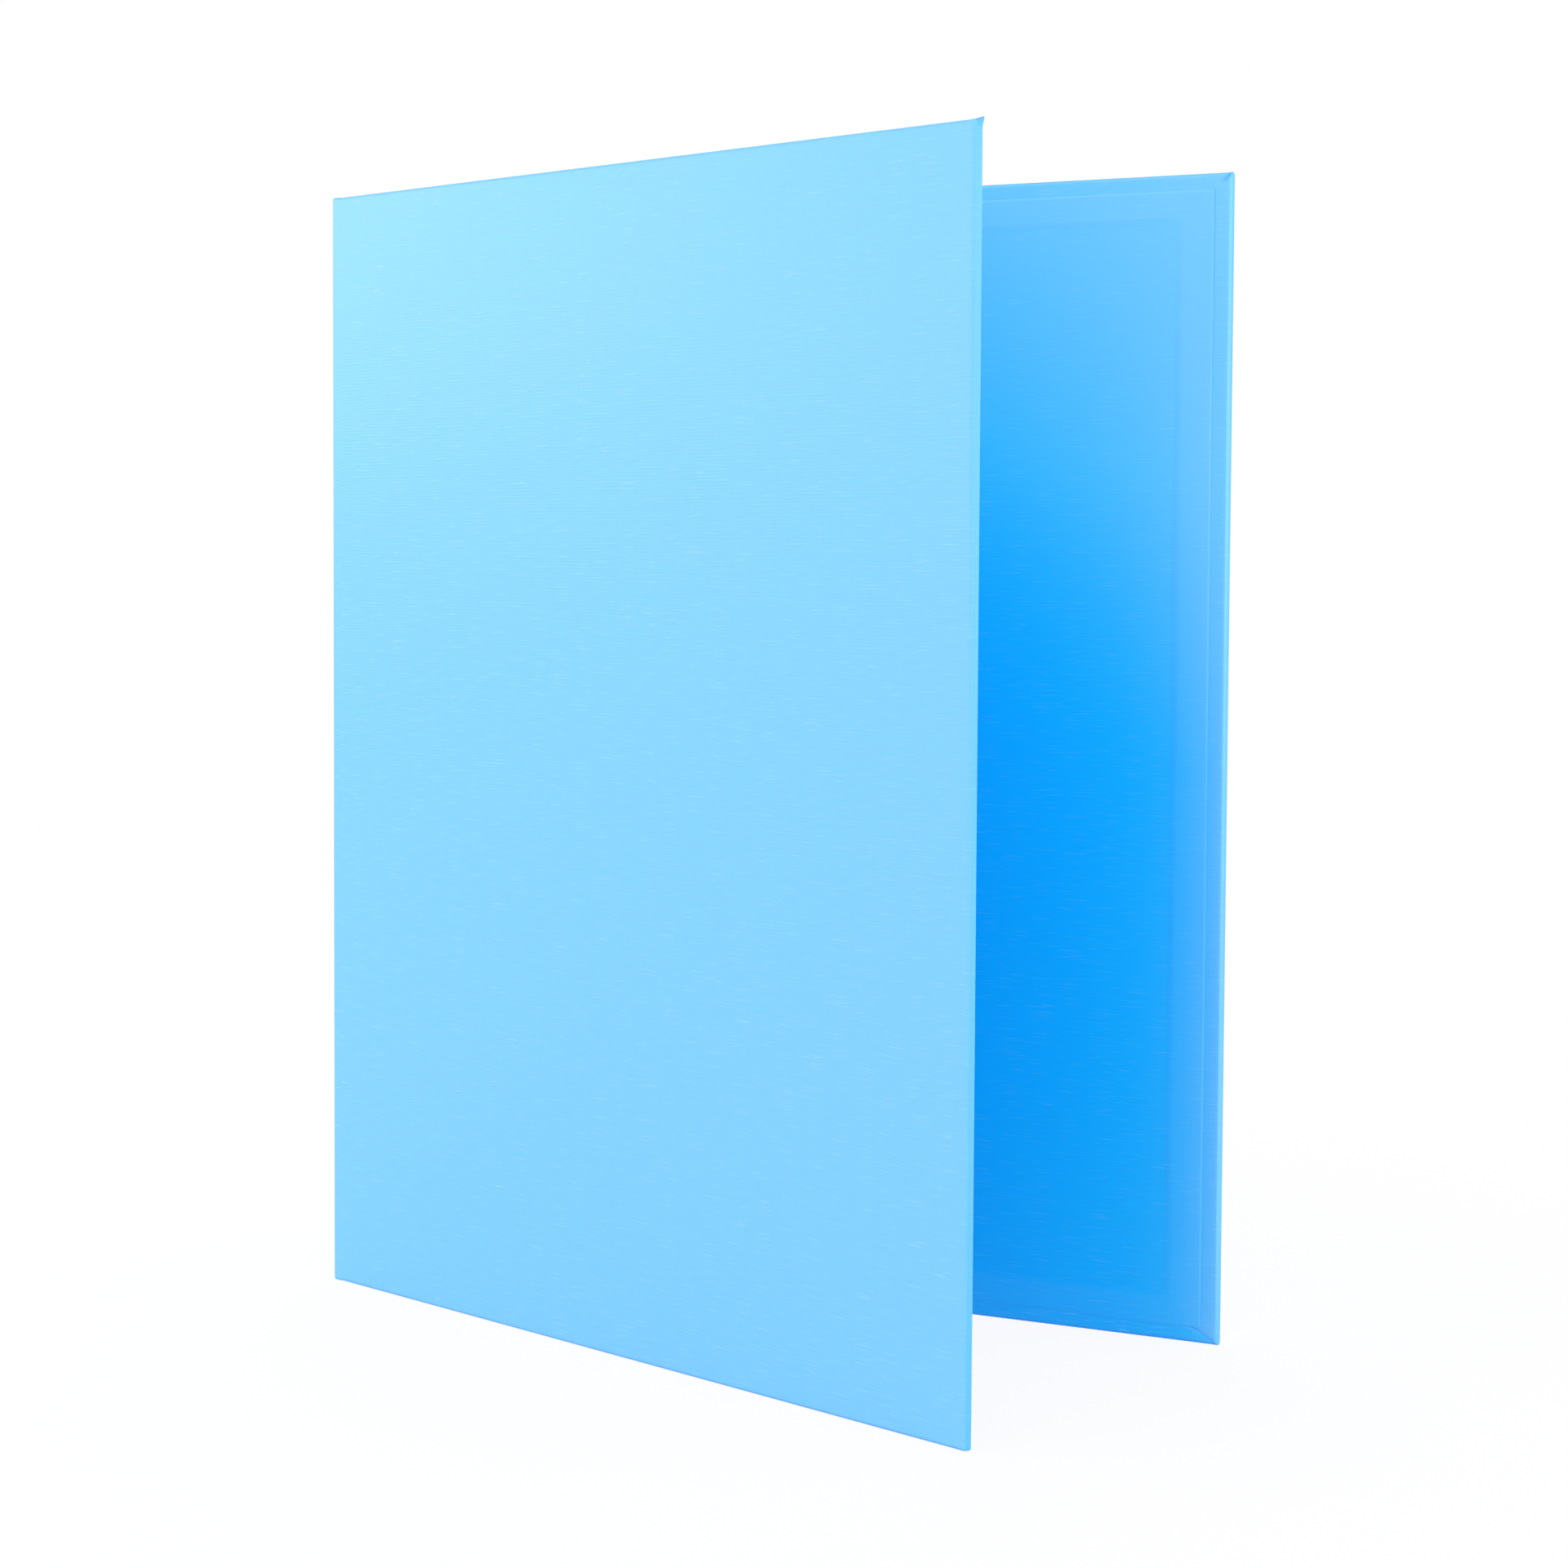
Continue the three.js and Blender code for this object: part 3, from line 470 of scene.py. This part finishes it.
# The stations along each side of a cover: where the cloth is at a given distance in.
def edgeSides(panel):
    rim, radius = cloth["rim"], cloth["cornerRound"]
    start, end, top = panel["start"], panel["end"], case["height"]
    innerEnd = end - rim if panel["foreEdge"] else end
    across = spread(start, innerEnd, cloth["step"])
    upright = spread(rim, top - rim, cloth["step"])

    def tailPoint(u, inset):
        edge = end - max(inset, radius) if panel["foreEdge"] else end
        return start + (u - start) * (edge - start) / (innerEnd - start), inset

    def forePoint(z, inset):
        share = (top / 2 - max(inset, radius)) / (top / 2 - rim)
        return end - inset, top / 2 + (z - top / 2) * share

    def cornerPoint(angle, inset):
        centre, reach = max(radius, inset), max(radius - inset, 0)
        return end - centre + reach * math.cos(angle), centre - reach * math.sin(angle)

    def overturned(point):
        return point[0], top - point[1]

    tail = [lambda inset, u=u: tailPoint(u, inset) for u in across]
    sides = {"tail": tail}
    if panel["foreEdge"]:
        steps = cloth["cornerSteps"]
        arc = [math.pi / 2 * i / steps for i in range(steps)]  # from the fore edge to the tail
        tailArc, foreArc = arc[steps // 2:], arc[1:steps // 2 + 1]  # they meet at 45 degrees
        fore = [lambda inset, z=z: forePoint(z, inset) for z in upright]
        corner = [lambda inset, a=a: cornerPoint(a, inset) for a in reversed(tailArc)]
        low = [lambda inset, a=a: cornerPoint(a, inset) for a in reversed(foreArc)]
        high = [lambda inset, at=at: overturned(at(inset)) for at in reversed(low)]
        sides = {"tail": tail + corner, "fore": low + fore + high}
    sides["head"] = [lambda inset, at=at: overturned(at(inset)) for at in sides["tail"]]
    return sides, across, upright


# Cloth pinched out where the folds of two edges meet at a corner
nib = {
    "reach": 1.6,  # how far from the corner it begins
    "middle": 0.62,  # it stands out most at this share of the thickness
    "pastFore": 1.3, "pastEnd": 0.8,  # shares of it past the fore edge, and past head or tail
}


def nibPush(panel, u, z, depth):
    isHead = z > case["height"] / 2
    fromCorner = math.dist((u, z), (panel["end"], case["height"] if isHead else 0))
    height = panel["nibs"]["head" if isHead else "tail"]
    middle = 1 - abs(depth / case["thickness"] - nib["middle"]) / (1 - nib["middle"])
    near = 1 - fromCorner / nib["reach"]
    push = height * max(middle, 0) * max(near, 0)
    return push * nib["pastFore"], push * nib["pastEnd"] * (1 if isHead else -1)


# How the flaps of turned-in cloth meet at a cover's corners. At the tail the joint leans, so
# that it runs flatter than 45 degrees, and at the head its crease ends before the lining.
mitres = {
    # Each crease gets a share of painted shade, and the tail flap gets only half the painted light inside, so it
    # shows darker in painted shade.
    "tail": {"lean": 0.73, "shadeShare": 0.4, "shows": 13, "litShare": 0.5},
    "head": {"lean": 0, "shadeShare": 1, "shows": 2.6, "litShare": 1},
    "fullLean": 5,  # the lean grows this far in, and is gone at the end of the turn-in
    "leanReach": 6,  # it is gone this far to either side of the joint too
    "fadeOut": 0.8,  # the crease ends over this length
    "dip": 0.35, "half": 0.5,  # depth of the crease and half its width
}


def mitreAt(panel, u, z):
    # how strongly the crease shows here, and how far the cloth leans inwards
    if not panel["foreEdge"]:
        return 0, 0
    mitre = mitres["tail" if z < case["height"] / 2 else "head"]
    fromFore, fromEnd = panel["end"] - u, min(z, case["height"] - z)
    within, apart = min(fromFore, fromEnd), abs(fromFore - fromEnd)
    crease = max(1 - apart / math.sqrt(2) / mitres["half"], 0)
    crease *= min(max((mitre["shows"] - within) / mitres["fadeOut"], 0), 1)
    full, last = mitres["fullLean"], cloth["foreTurnIn"]
    lean = max(min(within, full * (last - within) / (last - full)), 0)
    return crease, mitre["lean"] * lean * max(1 - apart / mitres["leanReach"], 0)


# Painted shade on the folded edges. The tail's is painted over more of its width, as the
# shadow along the foot where the binder stands on the floor.
foldShadeSpread = {"tail": 12, "fore": 2, "head": 2, "hinge": 2}


def foldShade(depth, side):
    # 0 at the outer and the inner face, and 1 on the folded edge between them
    return min(foldShadeSpread[side] * (1 - abs(2 * depth / case["thickness"] - 1)), 1)


def layerRows(panel, side, stations, skin):
    rim, top, end = cloth["rim"], case["height"], panel["end"]
    rows = []
    for at in stations:
        atCorner = at is stations[-1] or (side == "fore" and at is stations[0])
        isCorner = panel["foreEdge"] and atCorner
        turnIn = cloth["foreTurnIn"] if side == "fore" and not isCorner else cloth["endTurnIn"]
        run, row, previous = 0, [], None
        for inset, depth in wrapProfile(turnIn, skin):
            run += math.dist(previous, (inset, depth)) if previous else 0
            previous = (inset, depth)
            u, z = at(inset)
            uv = {
                "tail": (u, rim - run),
                "head": (u, top - rim + run),
                "fore": (end - rim + run, z),
            }[side]
            inside = min(max(depth / case["thickness"] * 2 - 1, 0), 1)
            flap = mitres["tail" if z < top / 2 else "head"]
            # inner faces get painted light near the fore edges and the head, and painted shade further in; the
            # tail flap gets less painted light
            paintedLighting = paintedLightAt(panel, u, z) * (1 if side == "fore" else flap["litShare"])
            litShare = 1 + (paintedLighting - 1) * inside
            crease, lean = (amount * inside for amount in mitreAt(panel, u, z))
            # painted shade on the folded edge and along the mitre crease
            shadeShare = max(foldShade(depth, side), crease * flap["shadeShare"])
            if inset >= cloth["cornerRound"]:
                depth -= crease * mitres["dip"]
            if panel["foreEdge"] and inset < nib["reach"]:
                outU, outZ = nibPush(panel, u, z, depth)
                u, z = u + outU, z + outZ
            row.append(((u - lean, depth, z), uv, litShare, shadeShare))
        rows.append(row)
    return rows


def makeCaseCloth(name):
    panel = panels[name]
    sides, across, upright = edgeSides(panel)
    shape = newSheet()
    layers = []
    for skin in (0, cloth["thickness"]):
        known = {}
        middle = [[((u, skin, z), (u, z), 1, 0) for z in upright] for u in across]
        verts = addPatch(shape, known, middle)
        for side, stations in sides.items():
            verts += addPatch(shape, known, layerRows(panel, side, stations, skin))
        layers.append(verts)
    closeRims(shape, *layers)
    piece = finishPiece(f"{name}_bookcloth", shape, panel["place"], bookcloth)
    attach(piece, name)
    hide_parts(f"{name}_cloth")
    cutWidth = panel["end"] - panel["start"]
    if panel["foreEdge"]:
        cutWidth += wrapLength(cloth["foreTurnIn"]) - cloth["rim"]
    return piece, (cutWidth * mm, cutHeight * mm)


caseCloths = {name: makeCaseCloth(name) for name in panels}
print("case cloth made")


# Linings: one sheet inside each panel, stepping down from the turned-in cloth to the board
liningSheet = {
    "thickness": 0.3,
    "foreInset": 4.7, "endInset": 4.3,  # stops short of the edges
    "edgeShare": 0.4,  # its cut edge is pressed thinner
    "overCloth": case["thickness"] + 0.02,  # depth of its underside
    "overBoard": case["thickness"] - 0.16,  # a filler sheet under it levels most of the step
    "ramp": 2.6,  # it steps down over this length
    "backedPaleness": 0.1,  # it is paler by this much where it lies over the turned-in cloth
    "unevenStep": 0.35, "stepWave": 35,  # the turn-in's cut edge wanders, over this length
    "unevenEdge": 0.15, "edgeWave": 60,  # and so does the lining's own
    # painted shade along the lining's fore edge, as the dark line of the gap beside it
    "edgeShade": 0.7,
    "step": 6,  # grid spacing of the flat middle
    "closeLines": (0.3, 0.8),  # grid lines this far from each edge
    "fine": 0.35, "fineMargin": 0.6,  # grid spacing over the step and this far past it
    "leastGap": 0.12,  # of two lines closer than this, one is left out
}


def liningDepth(panel, u, z):
    # depth of the underside, and its share of painted light there
    top, seed = case["height"], panel["seed"]
    sheet = liningSheet
    size, wave = sheet["unevenStep"], sheet["stepWave"]
    past = min(z, top - z) - cloth["endTurnIn"] - wobble(u, seed, size, wave)
    if panel["foreEdge"]:
        fore = panel["end"] - u - cloth["foreTurnIn"]
        past = min(past, fore - wobble(z, seed + 5, size, wave))
    share = min(max(past / sheet["ramp"], 0), 1)
    backed = 1 - share * share * (3 - 2 * share)
    low, high = sheet["overBoard"], sheet["overCloth"]
    litShare = min(paintedLightAt(panel, u, z) + sheet["backedPaleness"] * backed, 1)
    return low + (high - low) * backed, litShare


def liningLines(low, high, steps):
    # grid lines between two edges: fine over each step, wide elsewhere
    sheet = liningSheet
    lines = set(spread(low, high, sheet["step"], sheet["closeLines"]))
    for start in steps:
        count = round((sheet["ramp"] + 2 * sheet["fineMargin"]) / sheet["fine"])
        lines |= {start - sheet["fineMargin"] + sheet["fine"] * i for i in range(count + 1)}
    kept = []
    for line in sorted(lines):
        if low <= line <= high and (not kept or line - kept[-1] > sheet["leastGap"]):
            kept.append(line)
    return kept if kept[-1] == high else kept + [high]


def makeLining(name):
    panel, sheet, height = panels[name], liningSheet, case["height"]
    turn, ramp = cloth["endTurnIn"], sheet["ramp"]
    farEdge = panel["end"] - (sheet["foreInset"] if panel["foreEdge"] else 0)
    foreSteps = [panel["end"] - cloth["foreTurnIn"] - ramp] if panel["foreEdge"] else []
    us = liningLines(panel["start"], farEdge, foreSteps)
    inset = sheet["endInset"]
    zs = liningLines(inset, height - inset, (turn, height - turn - ramp))
    size, wave = sheet["unevenEdge"], sheet["edgeWave"]
    shape = newSheet()
    layers = []
    for raised in (0, sheet["thickness"]):
        rows = []
        for u in us:
            row = []
            for z in zs:
                depth, litShare = liningDepth(panel, u, z)
                atForeEdge = panel["foreEdge"] and u == us[-1]
                atEnd = z in (zs[0], zs[-1])
                shiftU = wobble(z, panel["seed"], size, wave) if atForeEdge else 0
                shiftZ = wobble(u, panel["seed"] + 2, size, wave) if atEnd else 0
                top = raised * (sheet["edgeShare"] if atForeEdge or atEnd else 1)
                point = (u + shiftU, depth + top, z + shiftZ)
                # painted shade along the lining's fore edge
                row.append((point, (u, z), litShare, sheet["edgeShade"] if atForeEdge else 0))
            rows.append(row)
        layers.append(addPatch(shape, {}, rows))
    closeRims(shape, *layers)
    piece = finishPiece(f"{name}_lining_sheet", shape, panel["place"], lining)
    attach(piece, name)
    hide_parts(f"{name}_lining")
    cut = (farEdge - panel["start"], height - 2 * inset)
    return piece, tuple(length * mm for length in cut)


liningSheets = {name: makeLining(name) for name in panels}
print("linings made")


# Hinges: the cloth and the lining cross from the spine to each cover, pressed together in
# the gap between the two boards
hinge = {
    "clothValley": 0.85,  # two layers of cloth, pressed flat
    "liningGap": 0.03,  # the lining lies this far over them
    "shoulder": 0.9,  # how far out from the board the valley starts
    "rounds": 3,
    "step": 10,  # grid spacing up the strip
}


def softened(points, rounds):
    # each round cuts the corners off a path, a quarter of the way along its legs
    for _ in range(rounds):
        cut = [points[0]]
        for a, b in zip(points, points[1:]):
            cut += [a.lerp(b, 0.25), a.lerp(b, 0.75)]
        points = cut + [points[-1]]
    return points


def hingeSide(name):
    # directions from the axis, along and into each of the two panels that meet there
    cover = panels[f"{name}_cover"]["place"].to_3x3()
    spine = panels["spine"]["place"].to_3x3()
    alongSpine = spine.col[0] * (1 if name == "front" else -1)
    axis = frontAxis if name == "front" else backAxis
    return {
        "axis": Vector((axis.x, axis.y, 0)),
        "spine": (alongSpine, spine.col[1]),
        "cover": (cover.col[0], cover.col[1]),
    }


def foldRoute(side, depth, valley):
    # a path across the hinge: at its ends it lies at depth, and in between it dips to valley
    reach = case["jointHalf"]
    foot = reach - hinge["shoulder"]
    (spineAlong, spineIn), (coverAlong, coverIn) = side["spine"], side["cover"]
    corner = (spineIn + coverIn) * (valley / (1 + spineIn.dot(coverIn)))
    halfway = (depth + valley) / 2
    spineLeg = [
        spineAlong * reach + spineIn * depth,
        spineAlong * (reach + foot) * 0.5 + spineIn * halfway,
        spineAlong * foot + spineIn * valley,
    ]
    coverLeg = [
        coverAlong * foot + coverIn * valley,
        coverAlong * (reach + foot) * 0.5 + coverIn * halfway,
        coverAlong * reach + coverIn * depth,
    ]
    return softened(spineLeg + [corner] + coverLeg, hinge["rounds"])


def blendHinge(piece, name, side, depth):
    # the bend takes place between the points where the strip leaves the two boards
    (spineAlong, spineIn), (coverAlong, coverIn) = side["spine"], side["cover"]
    across = (coverAlong - spineAlong).normalized()
    ending = coverAlong * case["jointHalf"] + coverIn * depth
    reach = across * ending.dot(across)
    start, end = ((side["axis"] + way * reach) * mm for way in (-1, 1))
    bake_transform(piece, "spine", f"{name}_cover", start=start, end=end)


def makeHingeCloth(name):
    side = hingeSide(name)
    top, deep, rim = case["height"], case["thickness"], cloth["rim"]
    outer = foldRoute(side, 0, 0)
    inner = foldRoute(side, deep, hinge["clothValley"])
    shape = newSheet()
    layers = []
    for skin in (0, cloth["thickness"]):
        profile = wrapProfile(cloth["endTurnIn"], skin)
        tail = list(reversed(profile))
        middle = [(z, skin) for z in spread(rim, top - rim, hinge["step"])[1:-1]]
        head = [(top - inset, depth) for inset, depth in profile]
        rows, across, previous = [], 0, outer[0]
        for near, far in zip(outer, inner):
            across += (near - previous).length
            previous = near
            row, run, last = [], 0, None
            for z, depth in tail + middle + head:
                run += math.dist(last, (z, depth)) if last else 0
                last = (z, depth)
                point = side["axis"] + near.lerp(far, depth / deep) + Vector((0, 0, z))
                inside = min(max(depth / deep * 2 - 1, 0), 1)
                # painted light and shade on the inner faces, as on the spine
                litShare = 1 + (paintedLightAt(panels["spine"], 0, z) - 1) * inside
                # painted shade on the folds
                row.append((tuple(point), (across, run), litShare, foldShade(depth, "hinge")))
            rows.append(row)
        layers.append(addPatch(shape, {}, rows))
    closeRims(shape, *layers)
    piece = finishPiece(f"{name}_hinge_bookcloth", shape, Matrix(), bookcloth)
    blendHinge(piece, name, side, deep)
    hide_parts(f"{name}_hinge_cloth")
    return piece


def makeHingeLining(name):
    side, sheet, top = hingeSide(name), liningSheet, case["height"]
    turn, ramp, inset = cloth["endTurnIn"], sheet["ramp"], sheet["endInset"]
    zs = liningLines(inset, top - inset, (turn, top - turn - ramp))
    shape = newSheet()
    layers = []
    for raised in (0, sheet["thickness"]):
        columns = []
        for z in zs:
            # painted light and shade as on the spine's lining
            depth, litShare = liningDepth(panels["spine"], 0, z)
            valley = hinge["clothValley"] + hinge["liningGap"] + raised
            route = foldRoute(side, depth + raised, valley)
            column, across, previous = [], 0, route[0]
            for spot in route:
                across += (spot - previous).length
                previous = spot
                point = side["axis"] + spot + Vector((0, 0, z))
                column.append((tuple(point), (across, z), litShare, 0))
            columns.append(column)
        layers.append(addPatch(shape, {}, columns))
    closeRims(shape, *layers)
    piece = finishPiece(f"{name}_hinge_lining_sheet", shape, Matrix(), lining)
    blendHinge(piece, name, side, sheet["overCloth"] + sheet["thickness"])
    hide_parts(f"{name}_hinge_lining")
    return piece


hingeCloths = [makeHingeCloth(name) for name in ("front", "back")]
hingeLinings = [makeHingeLining(name) for name in ("front", "back")]
print("hinges made")


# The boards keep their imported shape: they only take their finish
for name in panels:
    board = frame["nodes"][f"{name}_board"]
    board.material_slots[0].material = greyboard
print("boards finished")


# The mechanism: pressed sheet, bent wire and rivets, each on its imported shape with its
# rounded surfaces smooth and its cut edges broken as by tumbling
metalwork = {
    "weldGap": 0.001,
    "flatAngle": 0.5,  # degrees: faces that meet flatter than this become one
    "softAngle": 32,  # degrees: a sharper edge than this stays an edge
    "edgeBreak": 0.1,
}
metalPieces = {
    "spring_steel": (springSteel, ("front_ring_blade", "back_ring_blade")),
    "nickel_plate": (nickel, (
        "ring_shell", "upper_rivet", "lower_rivet", "upper_rivet_washer", "lower_rivet_washer",
        "upper_front_half_ring", "lower_front_half_ring",
        "upper_back_half_ring", "lower_back_half_ring",
    )),
}
bodyOf = {
    node: body for body, nodes in frame["record"]["behaviour"]["bodies"].items() for node in nodes
}


def makeMetal(name, material):
    shape = bmesh.new()
    shape.from_mesh(frame["nodes"][name].data)
    flatAngle, softAngle = (math.radians(metalwork[kind]) for kind in ("flatAngle", "softAngle"))
    bmesh.ops.remove_doubles(shape, verts=shape.verts, dist=metalwork["weldGap"] * mm)
    bmesh.ops.dissolve_limit(
        shape, angle_limit=flatAngle, verts=shape.verts, edges=shape.edges
    )
    for face in shape.faces:
        face.smooth = True
    for edge in shape.edges:
        edge.smooth = edge.calc_face_angle(math.pi) < softAngle
    mesh = bpy.data.meshes.new(f"{name}_metal")
    shape.to_mesh(mesh)
    shape.free()
    mesh.materials.append(material)
    piece = bpy.data.objects.new(f"{name}_metal", mesh)
    bpy.context.scene.collection.objects.link(piece)
    bevel = piece.modifiers.new("broken edges", "BEVEL")
    bevel.limit_method = "ANGLE"
    bevel.angle_limit = softAngle
    bevel.width = metalwork["edgeBreak"] * mm
    bevel.segments = 2
    bevel.harden_normals = True
    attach(piece, bodyOf[name])
    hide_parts(name)


for slot, (metal, names) in metalPieces.items():
    for name in names:
        makeMetal(name, metal)
print("mechanism made")


# Floor and light: a white studio sweep under large softboxes, in metres. A glow of 1 is as
# bright as white paper.
studio = {
    "floorColour": "#FCFCFC", "floorRoughness": 0.9,
    "floorSize": 6,
    "floorGlow": 0.9,  # near the binder this share of the floor is seen as plain white
    "glowFrom": 0.35, "glowTo": 0.9,  # it grows to all of it this far out
    "skyStrength": 0.47,
}
softboxes = {
    "front softbox": {
        "place": (-0.11, -1.62, 2.02), "aim": (0.12, -0.03, 0.16),
        "width": 2.7, "height": 1.1, "glow": 2.48,
    },
    "right softbox": {
        "place": (2.08, -0.03, 0.56), "aim": (0.12, -0.03, 0.16),
        "width": 4.0, "height": 1.0, "glow": 2.75,
    },
    "left softbox": {
        "place": (-0.71, -0.32, 0.41), "aim": (0.06, -0.06, 0.22),
        "width": 0.5, "height": 0.25, "glow": 3.9,
    },
    "back softbox": {
        "place": (-0.9, 1.7, 1.3), "aim": (0.12, -0.03, 0.16),
        "width": 2.4, "height": 1.6, "glow": 1.4,
    },
}


def seenDirectly(tree):
    # 1 for what the camera sees, straight on or mirrored in metal, and 0 for what lights the case
    rays = addNode(tree, "ShaderNodeLightPath", {}, {})
    mirrored = addNode(tree, "ShaderNodeMath", {"operation": "MAXIMUM"}, {
        0: rays.outputs["Is Glossy Ray"], 1: rays.outputs["Is Transmission Ray"],
    })
    return addNode(tree, "ShaderNodeMath", {"operation": "MAXIMUM"}, {
        0: rays.outputs["Is Camera Ray"], 1: mirrored.outputs["Value"],
    }).outputs["Value"]


def makeFloor():
    size = studio["floorSize"] / 2
    mesh = bpy.data.meshes.new("floor")
    mesh.from_pydata([(-size, -size, 0), (size, -size, 0), (size, size, 0), (-size, size, 0)],
                     [], [(0, 1, 2, 3)])
    floor = bpy.data.objects.new("floor", mesh)
    bpy.context.scene.collection.objects.link(floor)
    material, tree, shader = newMaterial("painted studio floor")
    shader.inputs["Base Color"].default_value = linear(studio["floorColour"])
    shader.inputs["Roughness"].default_value = studio["floorRoughness"]
    white = addNode(tree, "ShaderNodeEmission", {}, {"Color": (1, 1, 1, 1), "Strength": 1.0})
    place = addNode(tree, "ShaderNodeTexCoord", {}, {})
    away = addNode(tree, "ShaderNodeVectorMath", {"operation": "LENGTH"}, {
        0: place.outputs["Object"],
    })
    glow = addNode(tree, "ShaderNodeMapRange", {"interpolation_type": "SMOOTHSTEP"}, {
        "Value": away.outputs["Value"],
        "From Min": studio["glowFrom"], "From Max": studio["glowTo"],
        "To Min": studio["floorGlow"], "To Max": 1.0,
    })
    share = addNode(tree, "ShaderNodeMath", {"operation": "MULTIPLY"}, {
        0: seenDirectly(tree), 1: glow.outputs["Result"],
    })
    mixed = addNode(tree, "ShaderNodeMixShader", {}, {
        0: share.outputs["Value"], 1: shader.outputs["BSDF"], 2: white.outputs["Emission"],
    })
    output = tree.nodes["Material Output"]
    tree.links.new(mixed.outputs["Shader"], output.inputs["Surface"])
    mesh.materials.append(material)


def makeSky():
    world = bpy.data.worlds.new("white sky")
    world.use_nodes = True
    bpy.context.scene.world = world
    tree = world.node_tree
    lit = tree.nodes["Background"]
    lit.inputs["Color"].default_value = (1, 1, 1, 1)
    lit.inputs["Strength"].default_value = studio["skyStrength"]
    seen = addNode(tree, "ShaderNodeBackground", {}, {"Color": (1, 1, 1, 1), "Strength": 1.0})
    mixed = addNode(tree, "ShaderNodeMixShader", {}, {
        0: seenDirectly(tree), 1: lit.outputs["Background"], 2: seen.outputs["Background"],
    })
    tree.links.new(mixed.outputs["Shader"], tree.nodes["World Output"].inputs["Surface"])


def makeSoftboxes():
    for name, box in softboxes.items():
        data = bpy.data.lights.new(name, "AREA")
        data.shape = "RECTANGLE"
        data.size, data.size_y = box["width"], box["height"]
        data.energy = box["glow"] * math.pi * box["width"] * box["height"]
        lamp = bpy.data.objects.new(name, data)
        place = Vector(box["place"])
        lamp.location = place
        lamp.rotation_euler = (Vector(box["aim"]) - place).to_track_quat("-Z", "Y").to_euler()
        bpy.context.scene.collection.objects.link(lamp)


makeFloor()
makeSky()
makeSoftboxes()
bpy.context.scene.view_settings.view_transform = "Standard"
print("studio set")
